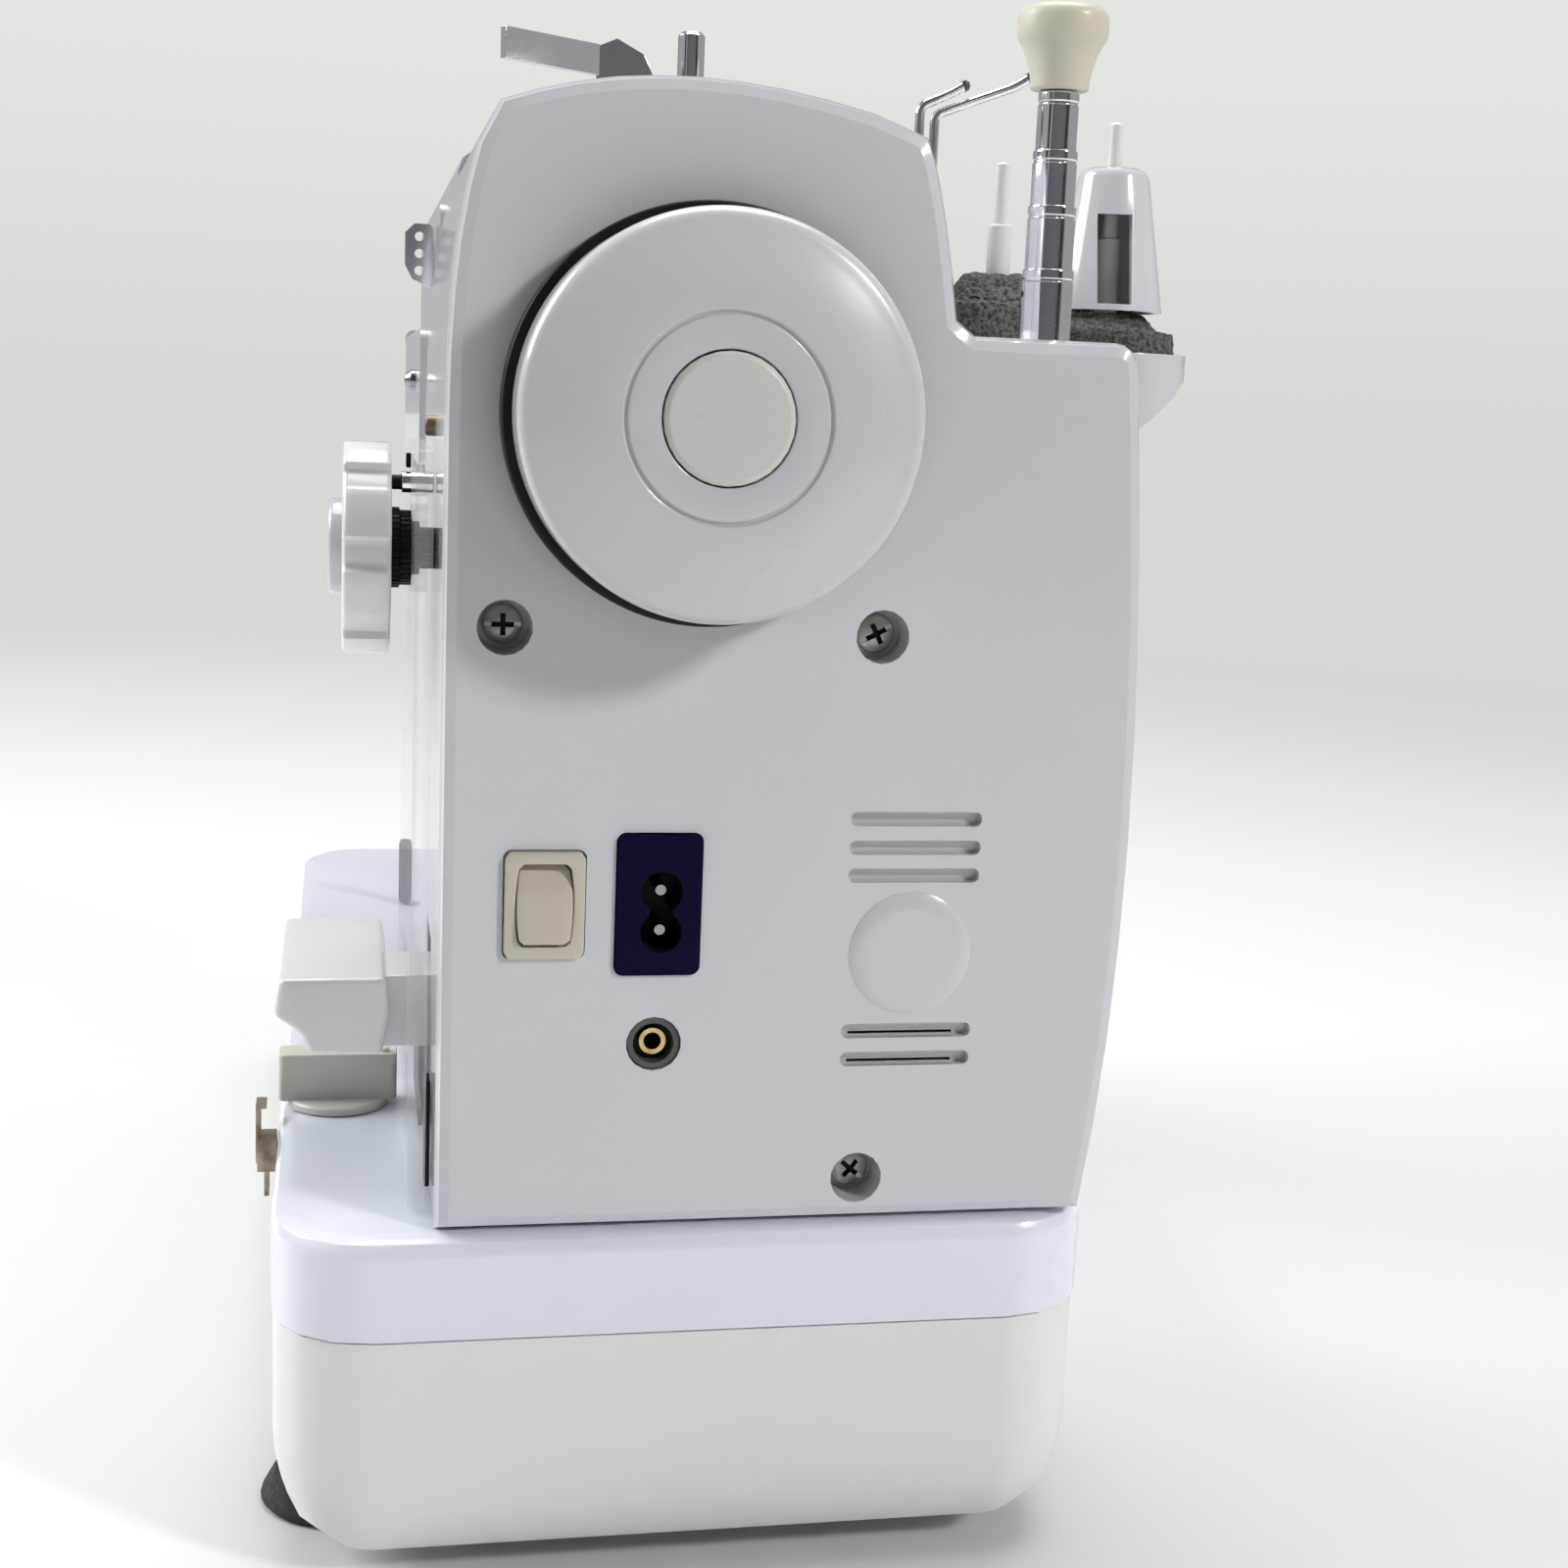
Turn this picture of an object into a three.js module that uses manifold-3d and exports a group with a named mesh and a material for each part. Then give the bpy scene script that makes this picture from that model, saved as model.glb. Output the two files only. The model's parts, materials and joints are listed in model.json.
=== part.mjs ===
// Flat-bed straight-stitch sewing machine, in millimetres, +Z up.
// It is laid out in the machine's own frame: X = 0 is the outer face of the end cover, +X runs out
// to the handwheel, +Y to the back, and Z = 0 is the table. The group is then moved so that its
// origin is the bottom centre of its bounding box.
import * as THREE from "three";
import { mergeVertices } from "three/addons/utils/BufferGeometryUtils.js";
import Module from "manifold-3d";

const kernel = await Module();
kernel.setup();

// ---------------------------------------------------------------- driving dimensions

const GAP = 0.3; // left between two pieces that touch
const RUN = 0.1; // radial clearance of a shaft in its bearing
const WALL = 3; // thickness of a plastic or cast shell
const WIRE_SIDES = 7;

const foot = { height: 8, radius: 17.8, shoulder: 14.5, neck: 5, sink: 2, fromEnd: 47.8, fromFace: 14.2 };
const base = { height: 50.3, frontY: -87.7, backY: 94.2, corner: 22, edge: 14, endEdge: 6, edgeRise: 22 };
const bed = {
  length: 397.5, right: 2.5, frontY: -88.3, backY: 95, height: 23.1, corner: 22, edge: 5, skin: 5,
  lugThickness: 6,
};
const bracket = {
  right: -76, width: 8, thickness: 1.2, proud: 5, bottom: 61.6, blockBottom: 68.5, blockTop: 76.8, top: 85,
};
const column = { width: 108, frontY: -54, ledgeY: 90, ledgeZ: 273, bellyY: 95.5, bellyZ: 158 };
const crown = { frontY: -46, backY: 42.3, frontZ: 312.5, backZ: 312, peakY: -8, peakZ: 320.5, stepY: 50.5 };
const arm = { frontY: -47, backY: 45, bottomZ: 232, corner: 8 };
const panel = { left: -264, fromColumn: 18, bottom: 238, top: 272, proud: 8, upperTop: 303, upperProud: 3.5 };
const stud = { x: -160, z: 259, radius: 3, rise: 3 };
const head = { right: 276, width: 76, bottomZ: 140 };
const face = { depth: 14 };
const endCover = { depth: 17, bevel: 3 };
const needle = { fromEnd: 305, y: 0 };

const wheel = {
  y: -1.5, z: 254.5, radius: 40, from: 8.3, to: 24, dome: 3.6, grooveRadius: 20, groove: 0.6, capRadius: 12.8,
};
const wheelBack = { radius: 42, from: 1.5, thickness: 6.5 };
const shaft = { radius: 6, lowerRadius: 4, lowerZ: 48 };
const mainFrame = {
  postFront: -18, postBack: 16, halfWidth: 12, beamRise: 10, beamTop: 22, fromArm: 10, fromBelt: 6,
};
const bigPulley = { radius: 30, right: 30, width: 10 };
const timing = { right: 52, width: 10, upperRadius: 14, lowerRadius: 7 };
const belt = { thickness: 2, narrower: 1 };
const motor = { radius: 26, y: 56, z: 130, fromArm: 10, right: 44, pulleyRadius: 8 };

const plate = { right: 271, length: 56, frontY: -28, backY: 26, thickness: 3, shelf: 4, wellDepth: 12 };
const hook = { radius: 16, width: 16 };
const dog = { halfLength: 12, rowWidth: 3, rowOffset: 4.5, proud: 0.7 };
const needleBar = { radius: 3.25, top: 262, clampTop: 136, clampBottom: 124, clampRadius: 4.6, tip: 98 };
const presser = { y: 22, radius: 3, top: 245 };
const lifter = { pivotY: 38, pivotZ: 162, width: 4 };
const takeUp = { pivotY: -15, pivotZ: 245, tipY: -53, tipZ: 272, width: 4 };
const tension = { x: -318, z: 235, radius: 13, depth: 5 };

const dial = {
  x: -45, z: 223, radius: 23.2, from: -63.6, to: -73.9, lobes: 8, scallop: 1.8,
  button: 2.9, buttonRadius: 10.4,
  hubRadius: 8.8, hubTo: -57.5, stemRadius: 4.5,
};
const stop = { rise: 14.2, radius: 2.35, tipRadius: 1.6, from: -61.2, tipFrom: -63.3 };
const lever = {
  right: -33, width: 57, topZ: 128.6, bottomZ: 111, frontY: -88, backY: -62.8, pivotY: -34, pivotZ: 120,
  stemFrom: 5, stemWidth: 21,
};
const knob = { x: -89, y: -74.1, radius: 12.3, disc: 1.9, barLength: 28.6, barWidth: 9, barTop: 95.2 };
const pane = { right: -12, width: 90, frontY: -59.2, backY: -55.4, topZ: 245.5 };

const winder = { x: -70, y: 3.2, radius: 3.05, top: 339.4, bottom: 296 };
const winderLever = {
  x: -68, y: -12, thickness: 1.6, bottom: 322, top: 336.5, reachX: 18, reachY: 29, postRadius: 1.9,
};
// A wire's bends are its bend height, then the (y, z) of its shoulder and of its tip.
const wire = {
  x: -60, radius: 1.1, shortY: 54.9, shortBends: [326, 62, 328.4, 65, 330.6],
  longY: 58.4, longBends: [324.2, 77, 331, 80.3, 333.3],
};
const guide = {
  right: -158.2, thickness: 1.8, width: 7.4, bottom: 283.2, top: 299.8, hole: 1.2, pitch: 4.4,
};
const pole = {
  x: -25, y: 76.5, radius: 5.6, step: 0.4, wall: 0.3, sink: 78, tops: [288.6, 302, 313.6, 325.7],
};
const cap = { radius: 9.75, waist: 6.35, height: 17.8, band: 6.5 };
const pin = { radius: 2.75, tipRadius: 1.95, bore: 0.35 };
const pinA = { x: -62, y: 76, shoulder: 300.5, top: 314.5, foam: 15, foamRadius: 16 };
const pinB = { x: -90, y: 112.7, shoulder: 301, top: 328.7, foam: 10.7, foamRadius: 18.8 };
const cone = { baseRadius: 14, topRadius: 8, height: 34.6, wall: 1.5 };
const coneWindow = { width: 8.2, height: 21.5, offset: -2.2 };
const tray = { radius: 20.6, thickness: 6.6, gusset: 30 };

const screw = {
  hole: 5.7, depth: 9, head: 4.2, upper: [[-41.4, 210.8], [37.4, 210.4]], lowY: 37.3, lowRise: 9.5,
};
const rocker = { y: -32.15, z: 153.15, width: 16.7, height: 22.7, corner: 1.5, radius: 7.8, rim: 2.9 };
const inlet = {
  y: -8.2, z: 153.1, width: 17.8, height: 30.2, corner: 1.8, pinGap: 8.6, pinRadius: 1.2, cavity: 12,
  lobe: 4.4, waist: 5,
};
const jack = { y: -8.3, z: 122.7, radius: 5.6, bore: 2.9 };
const vents = {
  y0: 32.4, y1: 61.3, height: 3.2, depth: 2.4, slit: 0.7, upper: [171.5, 165.3, 159.2], lower: [124.8, 118.5],
};
const boss = { y: 46.8, z: 142.1, radius: 13.5, proud: 1.9, slope: 3.6 };

// ---------------------------------------------------------------- derived levels

const baseTop = foot.height + base.height;
const bedBottom = baseTop + GAP;
const bedTop = bedBottom + bed.height;
const bedLeft = bed.right - bed.length;
const columnBottom = bedTop + GAP;
const columnLeft = -column.width;
const coverLeft = -endCover.depth;
const headRight = -head.right;
const headLeft = headRight - head.width;
const needleX = -needle.fromEnd;
const plateRight = -plate.right;
const plateLeft = plateRight - plate.length;
const plateBottom = bedTop - plate.thickness;
const bigPulleyX = [-bigPulley.right - bigPulley.width, -bigPulley.right];
const timingX = [-timing.right - timing.width, -timing.right];
const motorX = [columnLeft + motor.fromArm, -motor.right];
const postX = [columnLeft + mainFrame.fromArm, timingX[0] - mainFrame.fromBelt];
const screwPlaces = [...screw.upper, [screw.lowY, columnBottom + screw.lowRise]];
const stemX = [lever.right - lever.stemFrom - lever.stemWidth, lever.right - lever.stemFrom];
const lifterX = [needleX + 6, needleX + 6 + lifter.width];
const takeUpX = [needleX + 11, needleX + 11 + takeUp.width];

// ---------------------------------------------------------------- materials

const COLOURS = {
  glossWhite: [0xeef0ee, 0.25, 0],
  matteWhite: [0xe6e5df, 0.6, 0],
  cream: [0xe3dcc6, 0.45, 0],
  beige: [0xd8cfb4, 0.5, 0],
  greyGreen: [0x9a9f96, 0.55, 0],
  black: [0x16161a, 0.5, 0],
  navy: [0x1b2030, 0.45, 0],
  chrome: [0xd0d3d8, 0.08, 1],
  steel: [0xa8abb0, 0.3, 1],
  brass: [0x8a6a3a, 0.35, 1],
  cast: [0x9b9da0, 0.6, 0.6],
  foam: [0x6c706c, 0.95, 0],
  clear: [0xe8eef0, 0.05, 0],
};

function material(name) {
  const [color, roughness, metalness] = COLOURS[name];
  return new THREE.MeshStandardMaterial({ name, color, roughness, metalness });
}

const group = new THREE.Group();

function addPiece(name, solid, colour) {
  const mesh = solid.getMesh();
  const geometry = new THREE.BufferGeometry();
  geometry.setAttribute("position", new THREE.BufferAttribute(new Float32Array(mesh.vertProperties), 3));
  geometry.setIndex(new THREE.BufferAttribute(new Uint32Array(mesh.triVerts), 1));
  geometry.computeVertexNormals();
  const piece = new THREE.Mesh(geometry, material(colour));
  piece.name = name;
  group.add(piece);
}

// ---------------------------------------------------------------- solid building blocks

function toSolid(geometry) {
  const flat = geometry.index ? geometry.toNonIndexed() : geometry;
  const bare = new THREE.BufferGeometry();
  bare.setAttribute("position", flat.getAttribute("position"));
  const welded = mergeVertices(bare, 1e-4);
  const vertProperties = new Float32Array(welded.attributes.position.array);
  const triVerts = new Uint32Array(welded.index.array);
  return new kernel.Manifold(new kernel.Mesh({ numProp: 3, vertProperties, triVerts }));
}

// Turns a geometry built along local Z so that it runs along the named axis. The flat outline's
// two directions become (y, z) for "x", (x, z) for "y" and (x, y) for "z".
function along(axis, geometry) {
  const turn = new THREE.Matrix4();
  if (axis === "x") turn.set(0, 0, 1, 0, 1, 0, 0, 0, 0, 1, 0, 0, 0, 0, 0, 1);
  if (axis === "y") turn.set(1, 0, 0, 0, 0, 0, -1, 0, 0, 1, 0, 0, 0, 0, 0, 1);
  return geometry.applyMatrix4(turn);
}

function box([x0, x1], [y0, y1], [z0, z1]) {
  const geometry = new THREE.BoxGeometry(x1 - x0, y1 - y0, z1 - z0);
  return toSolid(geometry.translate((x0 + x1) / 2, (y0 + y1) / 2, (z0 + z1) / 2));
}

function flatShape(points) {
  return new THREE.Shape(points.map(([u, v]) => new THREE.Vector2(u, v)));
}

// A flat outline, as [u, v] points or a THREE.Shape, run along an axis from a to b.
function prism(axis, outline, [a, b], bevel = 0) {
  const shape = outline instanceof THREE.Shape ? outline : flatShape(outline);
  const options = { depth: b - a - 2 * bevel, bevelEnabled: bevel > 0, curveSegments: 4 };
  if (bevel > 0) {
    Object.assign(options, { bevelThickness: bevel, bevelSize: bevel });
    Object.assign(options, { bevelOffset: -bevel, bevelSegments: 2 });
  }
  const geometry = new THREE.ExtrudeGeometry(shape, options);
  geometry.translate(0, 0, axis === "y" ? -b + bevel : a + bevel);
  return toSolid(along(axis, geometry));
}

// A turned piece: [radius, position] points along an axis through (u, v). The profile starts and
// ends on the axis, or closes on itself when it is a ring.
function turned(axis, [u, v], profile, segments = 24) {
  const flip = axis === "y" ? -1 : 1;
  const upright = profile.map(([r, h]) => new THREE.Vector2(r, flip * h));
  if (axis === "y") upright.reverse();
  const geometry = new THREE.LatheGeometry(upright, segments);
  geometry.rotateX(Math.PI / 2);
  const shift = { x: [0, u, v], y: [u, 0, v], z: [u, v, 0] }[axis];
  return toSolid(along(axis, geometry)).translate(shift);
}

function rod(axis, centre, [a, b], radius, segments = 18) {
  return turned(axis, centre, [[0, a], [radius, a], [radius, b], [0, b]], segments);
}

function ring(axis, centre, [a, b], inner, outer, segments = 20) {
  return turned(axis, centre, [[inner, a], [outer, a], [outer, b], [inner, b], [inner, a]], segments);
}

function roundedOutline([u0, u1], [v0, v1], radius) {
  const shape = new THREE.Shape();
  shape.moveTo(u0 + radius, v0);
  shape.lineTo(u1 - radius, v0);
  shape.absarc(u1 - radius, v0 + radius, radius, -Math.PI / 2, 0);
  shape.lineTo(u1, v1 - radius);
  shape.absarc(u1 - radius, v1 - radius, radius, 0, Math.PI / 2);
  shape.lineTo(u0 + radius, v1);
  shape.absarc(u0 + radius, v1 - radius, radius, Math.PI / 2, Math.PI);
  shape.lineTo(u0, v0 + radius);
  shape.absarc(u0 + radius, v0 + radius, radius, Math.PI, 1.5 * Math.PI);
  return shape;
}

function arc([u, v], radius, from, to, count) {
  return Array.from({ length: count + 1 }, (_, i) => {
    const angle = from + ((to - from) * i) / count;
    return [u + radius * Math.cos(angle), v + radius * Math.sin(angle)];
  });
}

function circle(centre, radius, count) {
  return arc(centre, radius, 0, 2 * Math.PI, count).slice(0, count);
}

// A casing with a rounded-rectangle plan. Each level is [z, inset, end inset]: how far its outline
// stands in from the long sides and from the ends.
function casing([x0, x1], [y0, y1], corner, levels, steps = 4) {
  const rings = levels.map(([z, inset, endInset = inset]) => {
    const radius = Math.max(corner - inset, 1);
    const centres = [[x1, y0, -1], [x1, y1, 0], [x0, y1, 1], [x0, y0, 2]];
    return centres.flatMap(([x, y, quarter]) => {
      const cx = x + (x === x1 ? -1 : 1) * (endInset + radius);
      const cy = y + (y === y1 ? -1 : 1) * (inset + radius);
      const start = (quarter * Math.PI) / 2;
      return arc([cx, cy], radius, start, start + Math.PI / 2, steps).map(([px, py]) => [px, py, z]);
    });
  });
  return loft(rings);
}

// A closed solid skinned over rings of equal length. Each ring is star-shaped about its middle.
function loft(rings) {
  const count = rings[0].length;
  const corners = [];
  const triangle = (a, b, c) => corners.push(...a, ...b, ...c);
  for (let level = 0; level + 1 < rings.length; level++)
    for (let i = 0; i < count; i++) {
      const j = (i + 1) % count;
      triangle(rings[level][i], rings[level][j], rings[level + 1][j]);
      triangle(rings[level][i], rings[level + 1][j], rings[level + 1][i]);
    }
  const last = rings.at(-1);
  for (let i = 1; i + 1 < count; i++) {
    triangle(rings[0][0], rings[0][i + 1], rings[0][i]);
    triangle(last[0], last[i], last[i + 1]);
  }
  const geometry = new THREE.BufferGeometry();
  geometry.setAttribute("position", new THREE.Float32BufferAttribute(corners, 3));
  return toSolid(geometry);
}

function quarterRound(z0, rise, inset, steps, downwards) {
  return Array.from({ length: steps + 1 }, (_, i) => {
    const h = i / steps;
    const back = inset * (1 - Math.sqrt(Math.max(0, 1 - (1 - h) ** 2)));
    return downwards ? [z0 - rise * h, back] : [z0 + rise * h, back];
  });
}

// A round bar swept along straight runs, with its bends filled by short curve steps.
function bentWire(points, radius) {
  const stations = points.map((p) => new THREE.Vector3(...p));
  const path = new THREE.CatmullRomCurve3(stations, false, "catmullrom", 0.12);
  const outline = flatShape(circle([0, 0], radius, WIRE_SIDES));
  return toSolid(new THREE.ExtrudeGeometry(outline, { steps: 16, extrudePath: path, bevelEnabled: false }));
}

function union(solids) {
  return solids.reduce((whole, solid) => whole.add(solid));
}

function cut(solid, tools) {
  return tools.reduce((rest, tool) => rest.subtract(tool), solid);
}

// ---------------------------------------------------------------- housing profiles, as (y, z)

function quadratic(a, control, b, steps) {
  return Array.from({ length: steps }, (_, i) => {
    const t = i / steps;
    const blend = (k) => (1 - t) ** 2 * a[k] + 2 * t * (1 - t) * control[k] + t ** 2 * b[k];
    return [blend(0), blend(1)];
  });
}

function crownCurve() {
  const control = [crown.peakY, 2 * crown.peakZ - (crown.frontZ + crown.backZ) / 2 - 1];
  const start = [crown.frontY + 2, crown.frontZ + 1.5];
  return quadratic(start, control, [crown.backY - 2, crown.backZ + 1.5], 10);
}

// The end view of the column: upright front, domed crown, step down to the ledge, bellied back.
function columnOutline() {
  const { frontY, ledgeY, ledgeZ, bellyY, bellyZ } = column;
  const crownFront = [crown.frontY, crown.frontZ];
  const front = quadratic([frontY, crown.frontZ - 60], [frontY, crown.frontZ - 20], crownFront, 6);
  const stepFoot = [crown.stepY, ledgeZ + 3];
  const step = quadratic([crown.backY, crown.backZ], [crown.backY + 4, crown.backZ - 8], stepFoot, 5);
  const ledgeEnd = [ledgeY + 0.6, ledgeZ - 6];
  const corner = quadratic([ledgeY - 5, ledgeZ], [ledgeY, ledgeZ], ledgeEnd, 4);
  const backFoot = [ledgeY - 0.4, columnBottom];
  const belly = quadratic(ledgeEnd, [2 * bellyY - ledgeY + 0.5, bellyZ], backFoot, 8);
  const ledge = [stepFoot, [crown.stepY + 4, ledgeZ]];
  const bottom = [backFoot, [frontY + 0.2, columnBottom]];
  const outline = [...front, ...crownCurve(), ...step, ...ledge, ...corner, ...belly, ...bottom];
  return outline.reverse();
}

// The arm or the head in section: the same crown over an upright front and back.
function armOutline(bottomZ, corner) {
  const { frontY, backY } = arm;
  const front = [[frontY, bottomZ + corner], [frontY, crown.frontZ - 3], [crown.frontY, crown.frontZ]];
  const backTop = [crown.backY, crown.backZ];
  const back = quadratic(backTop, [backY, crown.backZ - 3], [backY, crown.backZ - 18], 4);
  const backCorner = arc([backY - corner, bottomZ + corner], corner, 0, -Math.PI / 2, 4);
  const frontCorner = arc([frontY + corner, bottomZ + corner], corner, -Math.PI / 2, -Math.PI, 4);
  return [...front, ...crownCurve(), ...back, ...backCorner, ...frontCorner.slice(0, 4)].reverse();
}

// A closed outline moved inwards by a distance, corner by corner.
function inset(outline, distance) {
  const count = outline.length;
  return outline.map((point, i) => {
    const before = outline[(i + count - 1) % count];
    const after = outline[(i + 1) % count];
    const n1 = inward(before, point);
    const n2 = inward(point, after);
    const scale = distance / Math.max(0.35, 1 + n1[0] * n2[0] + n1[1] * n2[1]);
    return [point[0] + (n1[0] + n2[0]) * scale, point[1] + (n1[1] + n2[1]) * scale];
  });
}

function inward(a, b) {
  const [du, dv] = [b[0] - a[0], b[1] - a[1]];
  const length = Math.hypot(du, dv);
  return [-dv / length, du / length];
}

// ---------------------------------------------------------------- base and bed

function lowerBase() {
  const endShare = base.endEdge / base.edge;
  const sideRounding = quarterRound(foot.height, base.edgeRise, base.edge, 4);
  const rounding = sideRounding.map(([z, inset]) => [z, inset, inset * endShare]);
  const levels = [...rounding, [baseTop, 0, 0]];
  const spanX = [bedLeft, bed.right];
  const spanY = [base.frontY, base.backY];
  const outer = casing(spanX, spanY, base.corner, levels);
  const innerLevels = levels.map(([z, i, end]) => [z, i + WALL, end + WALL]);
  innerLevels[0][0] += WALL;
  innerLevels.at(-1)[0] += 1;
  const hollow = casing(spanX, spanY, base.corner, innerLevels);
  return cut(outer, [hollow, ...footPlaces().map((c) => footSocket(c))]);
}

function footPlaces() {
  const x = [bed.right - foot.fromEnd, bedLeft + foot.fromEnd];
  const y = [base.frontY + foot.fromFace, base.backY - foot.fromFace];
  return x.flatMap((px) => y.map((py) => [px, py]));
}

function footSocket(centre) {
  return rod("z", centre, [foot.height - 1, foot.height + foot.sink], foot.neck + GAP);
}

function rubberFoot(centre) {
  const { radius, shoulder, neck, height, sink } = foot;
  const under = height - GAP;
  const top = height + sink - GAP;
  const pad = [[0, 0], [radius - 1.2, 0], [radius, 1.2], [radius - 0.4, 2.4], [shoulder, under]];
  return turned("z", centre, [...pad, [neck, under], [neck, top], [0, top]], 32);
}

function bedCasting() {
  const levels = [[bedBottom, 0], ...quarterRound(bedTop, bed.edge, bed.edge, 3, true).reverse()];
  const spanX = [bedLeft, bed.right];
  const spanY = [bed.frontY, bed.backY];
  const outer = casing(spanX, spanY, bed.corner, levels);
  const hollowLevels = [[bedBottom - 1, WALL + 1], [bedTop - bed.skin, WALL + 1]];
  const inner = casing(spanX, spanY, bed.corner, hollowLevels);
  const lugs = [timingX[0] - 13, plateRight + 3].map((x) => bearingLug(x));
  const beltX = [timingX[0] - 4, timingX[1] + 4];
  const beltWay = box(beltX, [wheel.y - 22, wheel.y + 22], [bedTop - 20, bedTop + 1]);
  return cut(union([outer.subtract(inner), ...lugs]), [...plateRecess(), beltWay, lowerBore()]);
}

function bearingLug(x) {
  const spanZ = [shaft.lowerZ - 9, bedTop - bed.skin + 1];
  return box([x, x + bed.lugThickness], spanAbout(wheel.y, 18), spanZ);
}

function lowerBore() {
  return rod("x", [wheel.y, shaft.lowerZ], [plateRight - 9, timingX[0] + 2], shaft.lowerRadius + RUN);
}

// The needle plate and the sliding cover lie in one recess, open at the bed's needle end.
function plateRecess() {
  const spanY = [plate.frontY - GAP, plate.backY + GAP];
  const recess = box([bedLeft - 1, plateRight + GAP], spanY, [plateBottom - GAP, bedTop + 1]);
  const wellX = [plateLeft - 20, plateRight - plate.shelf];
  const wellY = [spanY[0] + plate.shelf, spanY[1] - plate.shelf];
  const well = box(wellX, wellY, [bedTop - plate.wellDepth, bedTop]);
  return [recess, well];
}

function needlePlate() {
  const outline = roundedOutline([plateLeft, plateRight], [plate.frontY, plate.backY], 3);
  const body = prism("z", outline, [plateBottom, bedTop]);
  const slots = [-1, 1].map((side) => {
    const x = needleX + side * dog.rowOffset;
    const half = dog.rowWidth / 2 + 0.6;
    const spanY = spanAbout(needle.y, 2 * dog.halfLength + 2);
    return box([x - half, x + half], spanY, [plateBottom - 1, bedTop + 1]);
  });
  const hole = rod("z", [needleX, needle.y], [plateBottom - 1, bedTop + 1], 1.2, 16);
  return cut(body, [...slots, hole]);
}

function slideCover() {
  const right = plateLeft - GAP;
  const body = box([bedLeft + GAP, right], [plate.frontY, plate.backY], [plateBottom, bedTop]);
  const grip = rod("y", [bedLeft + 16, bedTop + 9], [-12, 10], 9.8, 32);
  return body.subtract(grip);
}

function bedBracket() {
  const { right, width, thickness, proud, bottom, blockBottom, blockTop, top } = bracket;
  const spanX = [right - width, right];
  const bladeX = [right - width, right - 2];
  const front = bed.frontY - GAP - proud;
  const block = box(spanX, [front + 0.4, bed.frontY - GAP], [blockBottom, blockTop]);
  const blade = box(bladeX, [front, front + thickness], [blockBottom + 1.5, top]);
  const lip = box(bladeX, [front, front + 2.6], [top - thickness, top]);
  const tail = box(bladeX, [front + 2, front + 2 + thickness], [bottom, blockBottom + 1]);
  return union([block, blade, lip, tail]);
}

// ---------------------------------------------------------------- upper housings

function columnHousing() {
  const span = [columnLeft, coverLeft - GAP];
  const profile = columnOutline();
  const hollow = prism("x", inset(profile, WALL), [span[0] + WALL, span[1] + 1]);
  const throat = prism("x", armOutline(arm.bottomZ + WALL, 6), [span[0] - 1, span[0] + WALL + 1]);
  const innerArm = inset(armOutline(arm.bottomZ, arm.corner), WALL);
  const doorway = prism("x", innerArm, [span[0] - 1, span[0] + WALL + 1]);
  const floorWay = box([span[0] + 8, span[1] + 1], [-46, 80], [columnBottom - 1, columnBottom + WALL + 1]);
  const body = prism("x", profile, span);
  return cut(body, [hollow, throat.intersect(doorway), floorWay, ...columnHoles()]);
}

function columnHoles() {
  const frontWall = [column.frontY - 4, column.frontY + 8];
  const roof = [crown.peakZ - 12, crown.peakZ + 2];
  const dialHole = rod("y", [dial.x, dial.z], frontWall, dial.stemRadius + GAP);
  const slotX = [stemX[0] - 1.5, stemX[1] + 1.5];
  const leverSlot = box(slotX, frontWall, [lever.bottomZ - 16, lever.topZ + 8]);
  const winderHole = rod("z", [winder.x, winder.y], roof, winder.radius + GAP);
  const pivotHole = rod("z", [winderLever.x, winderLever.y], roof, winderLever.postRadius + 0.4);
  const poleHole = rod("z", [pole.x, pole.y], [column.ledgeZ - 6, column.ledgeZ + 2], pole.radius + GAP);
  return [dialHole, leverSlot, winderHole, pivotHole, poleHole];
}

function armHousing() {
  const span = [headRight + GAP, columnLeft - GAP];
  const profile = armOutline(arm.bottomZ, arm.corner);
  const hollow = prism("x", inset(profile, WALL), [span[0] - 1, span[1] + 1]);
  const shell = prism("x", profile, span).subtract(hollow);
  return union([shell, ...frontPanels(), domedStud()]);
}

// The raised panel on the arm's front and the flatter one above it, which carries the thread guide.
function frontPanels() {
  const { left, fromColumn, bottom, top, proud, upperTop, upperProud } = panel;
  const spanX = [left, columnLeft - fromColumn];
  const lower = roundedOutline(spanX, [bottom, top], 4);
  const upper = roundedOutline(spanX, [top - 10, upperTop], 4);
  return [
    prism("y", lower, [arm.frontY - proud, arm.frontY + 1]),
    prism("y", upper, [arm.frontY - upperProud, arm.frontY + 1]),
  ];
}

function domedStud() {
  const y = arm.frontY - panel.proud;
  const { x, z, radius: r, rise } = stud;
  const dome = [[0, y - rise], [0.53 * r, y - 0.9 * rise], [0.93 * r, y - 0.47 * rise], [r, y + 1]];
  return turned("y", [x, z], [...dome, [0, y + 1]], 16);
}

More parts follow.
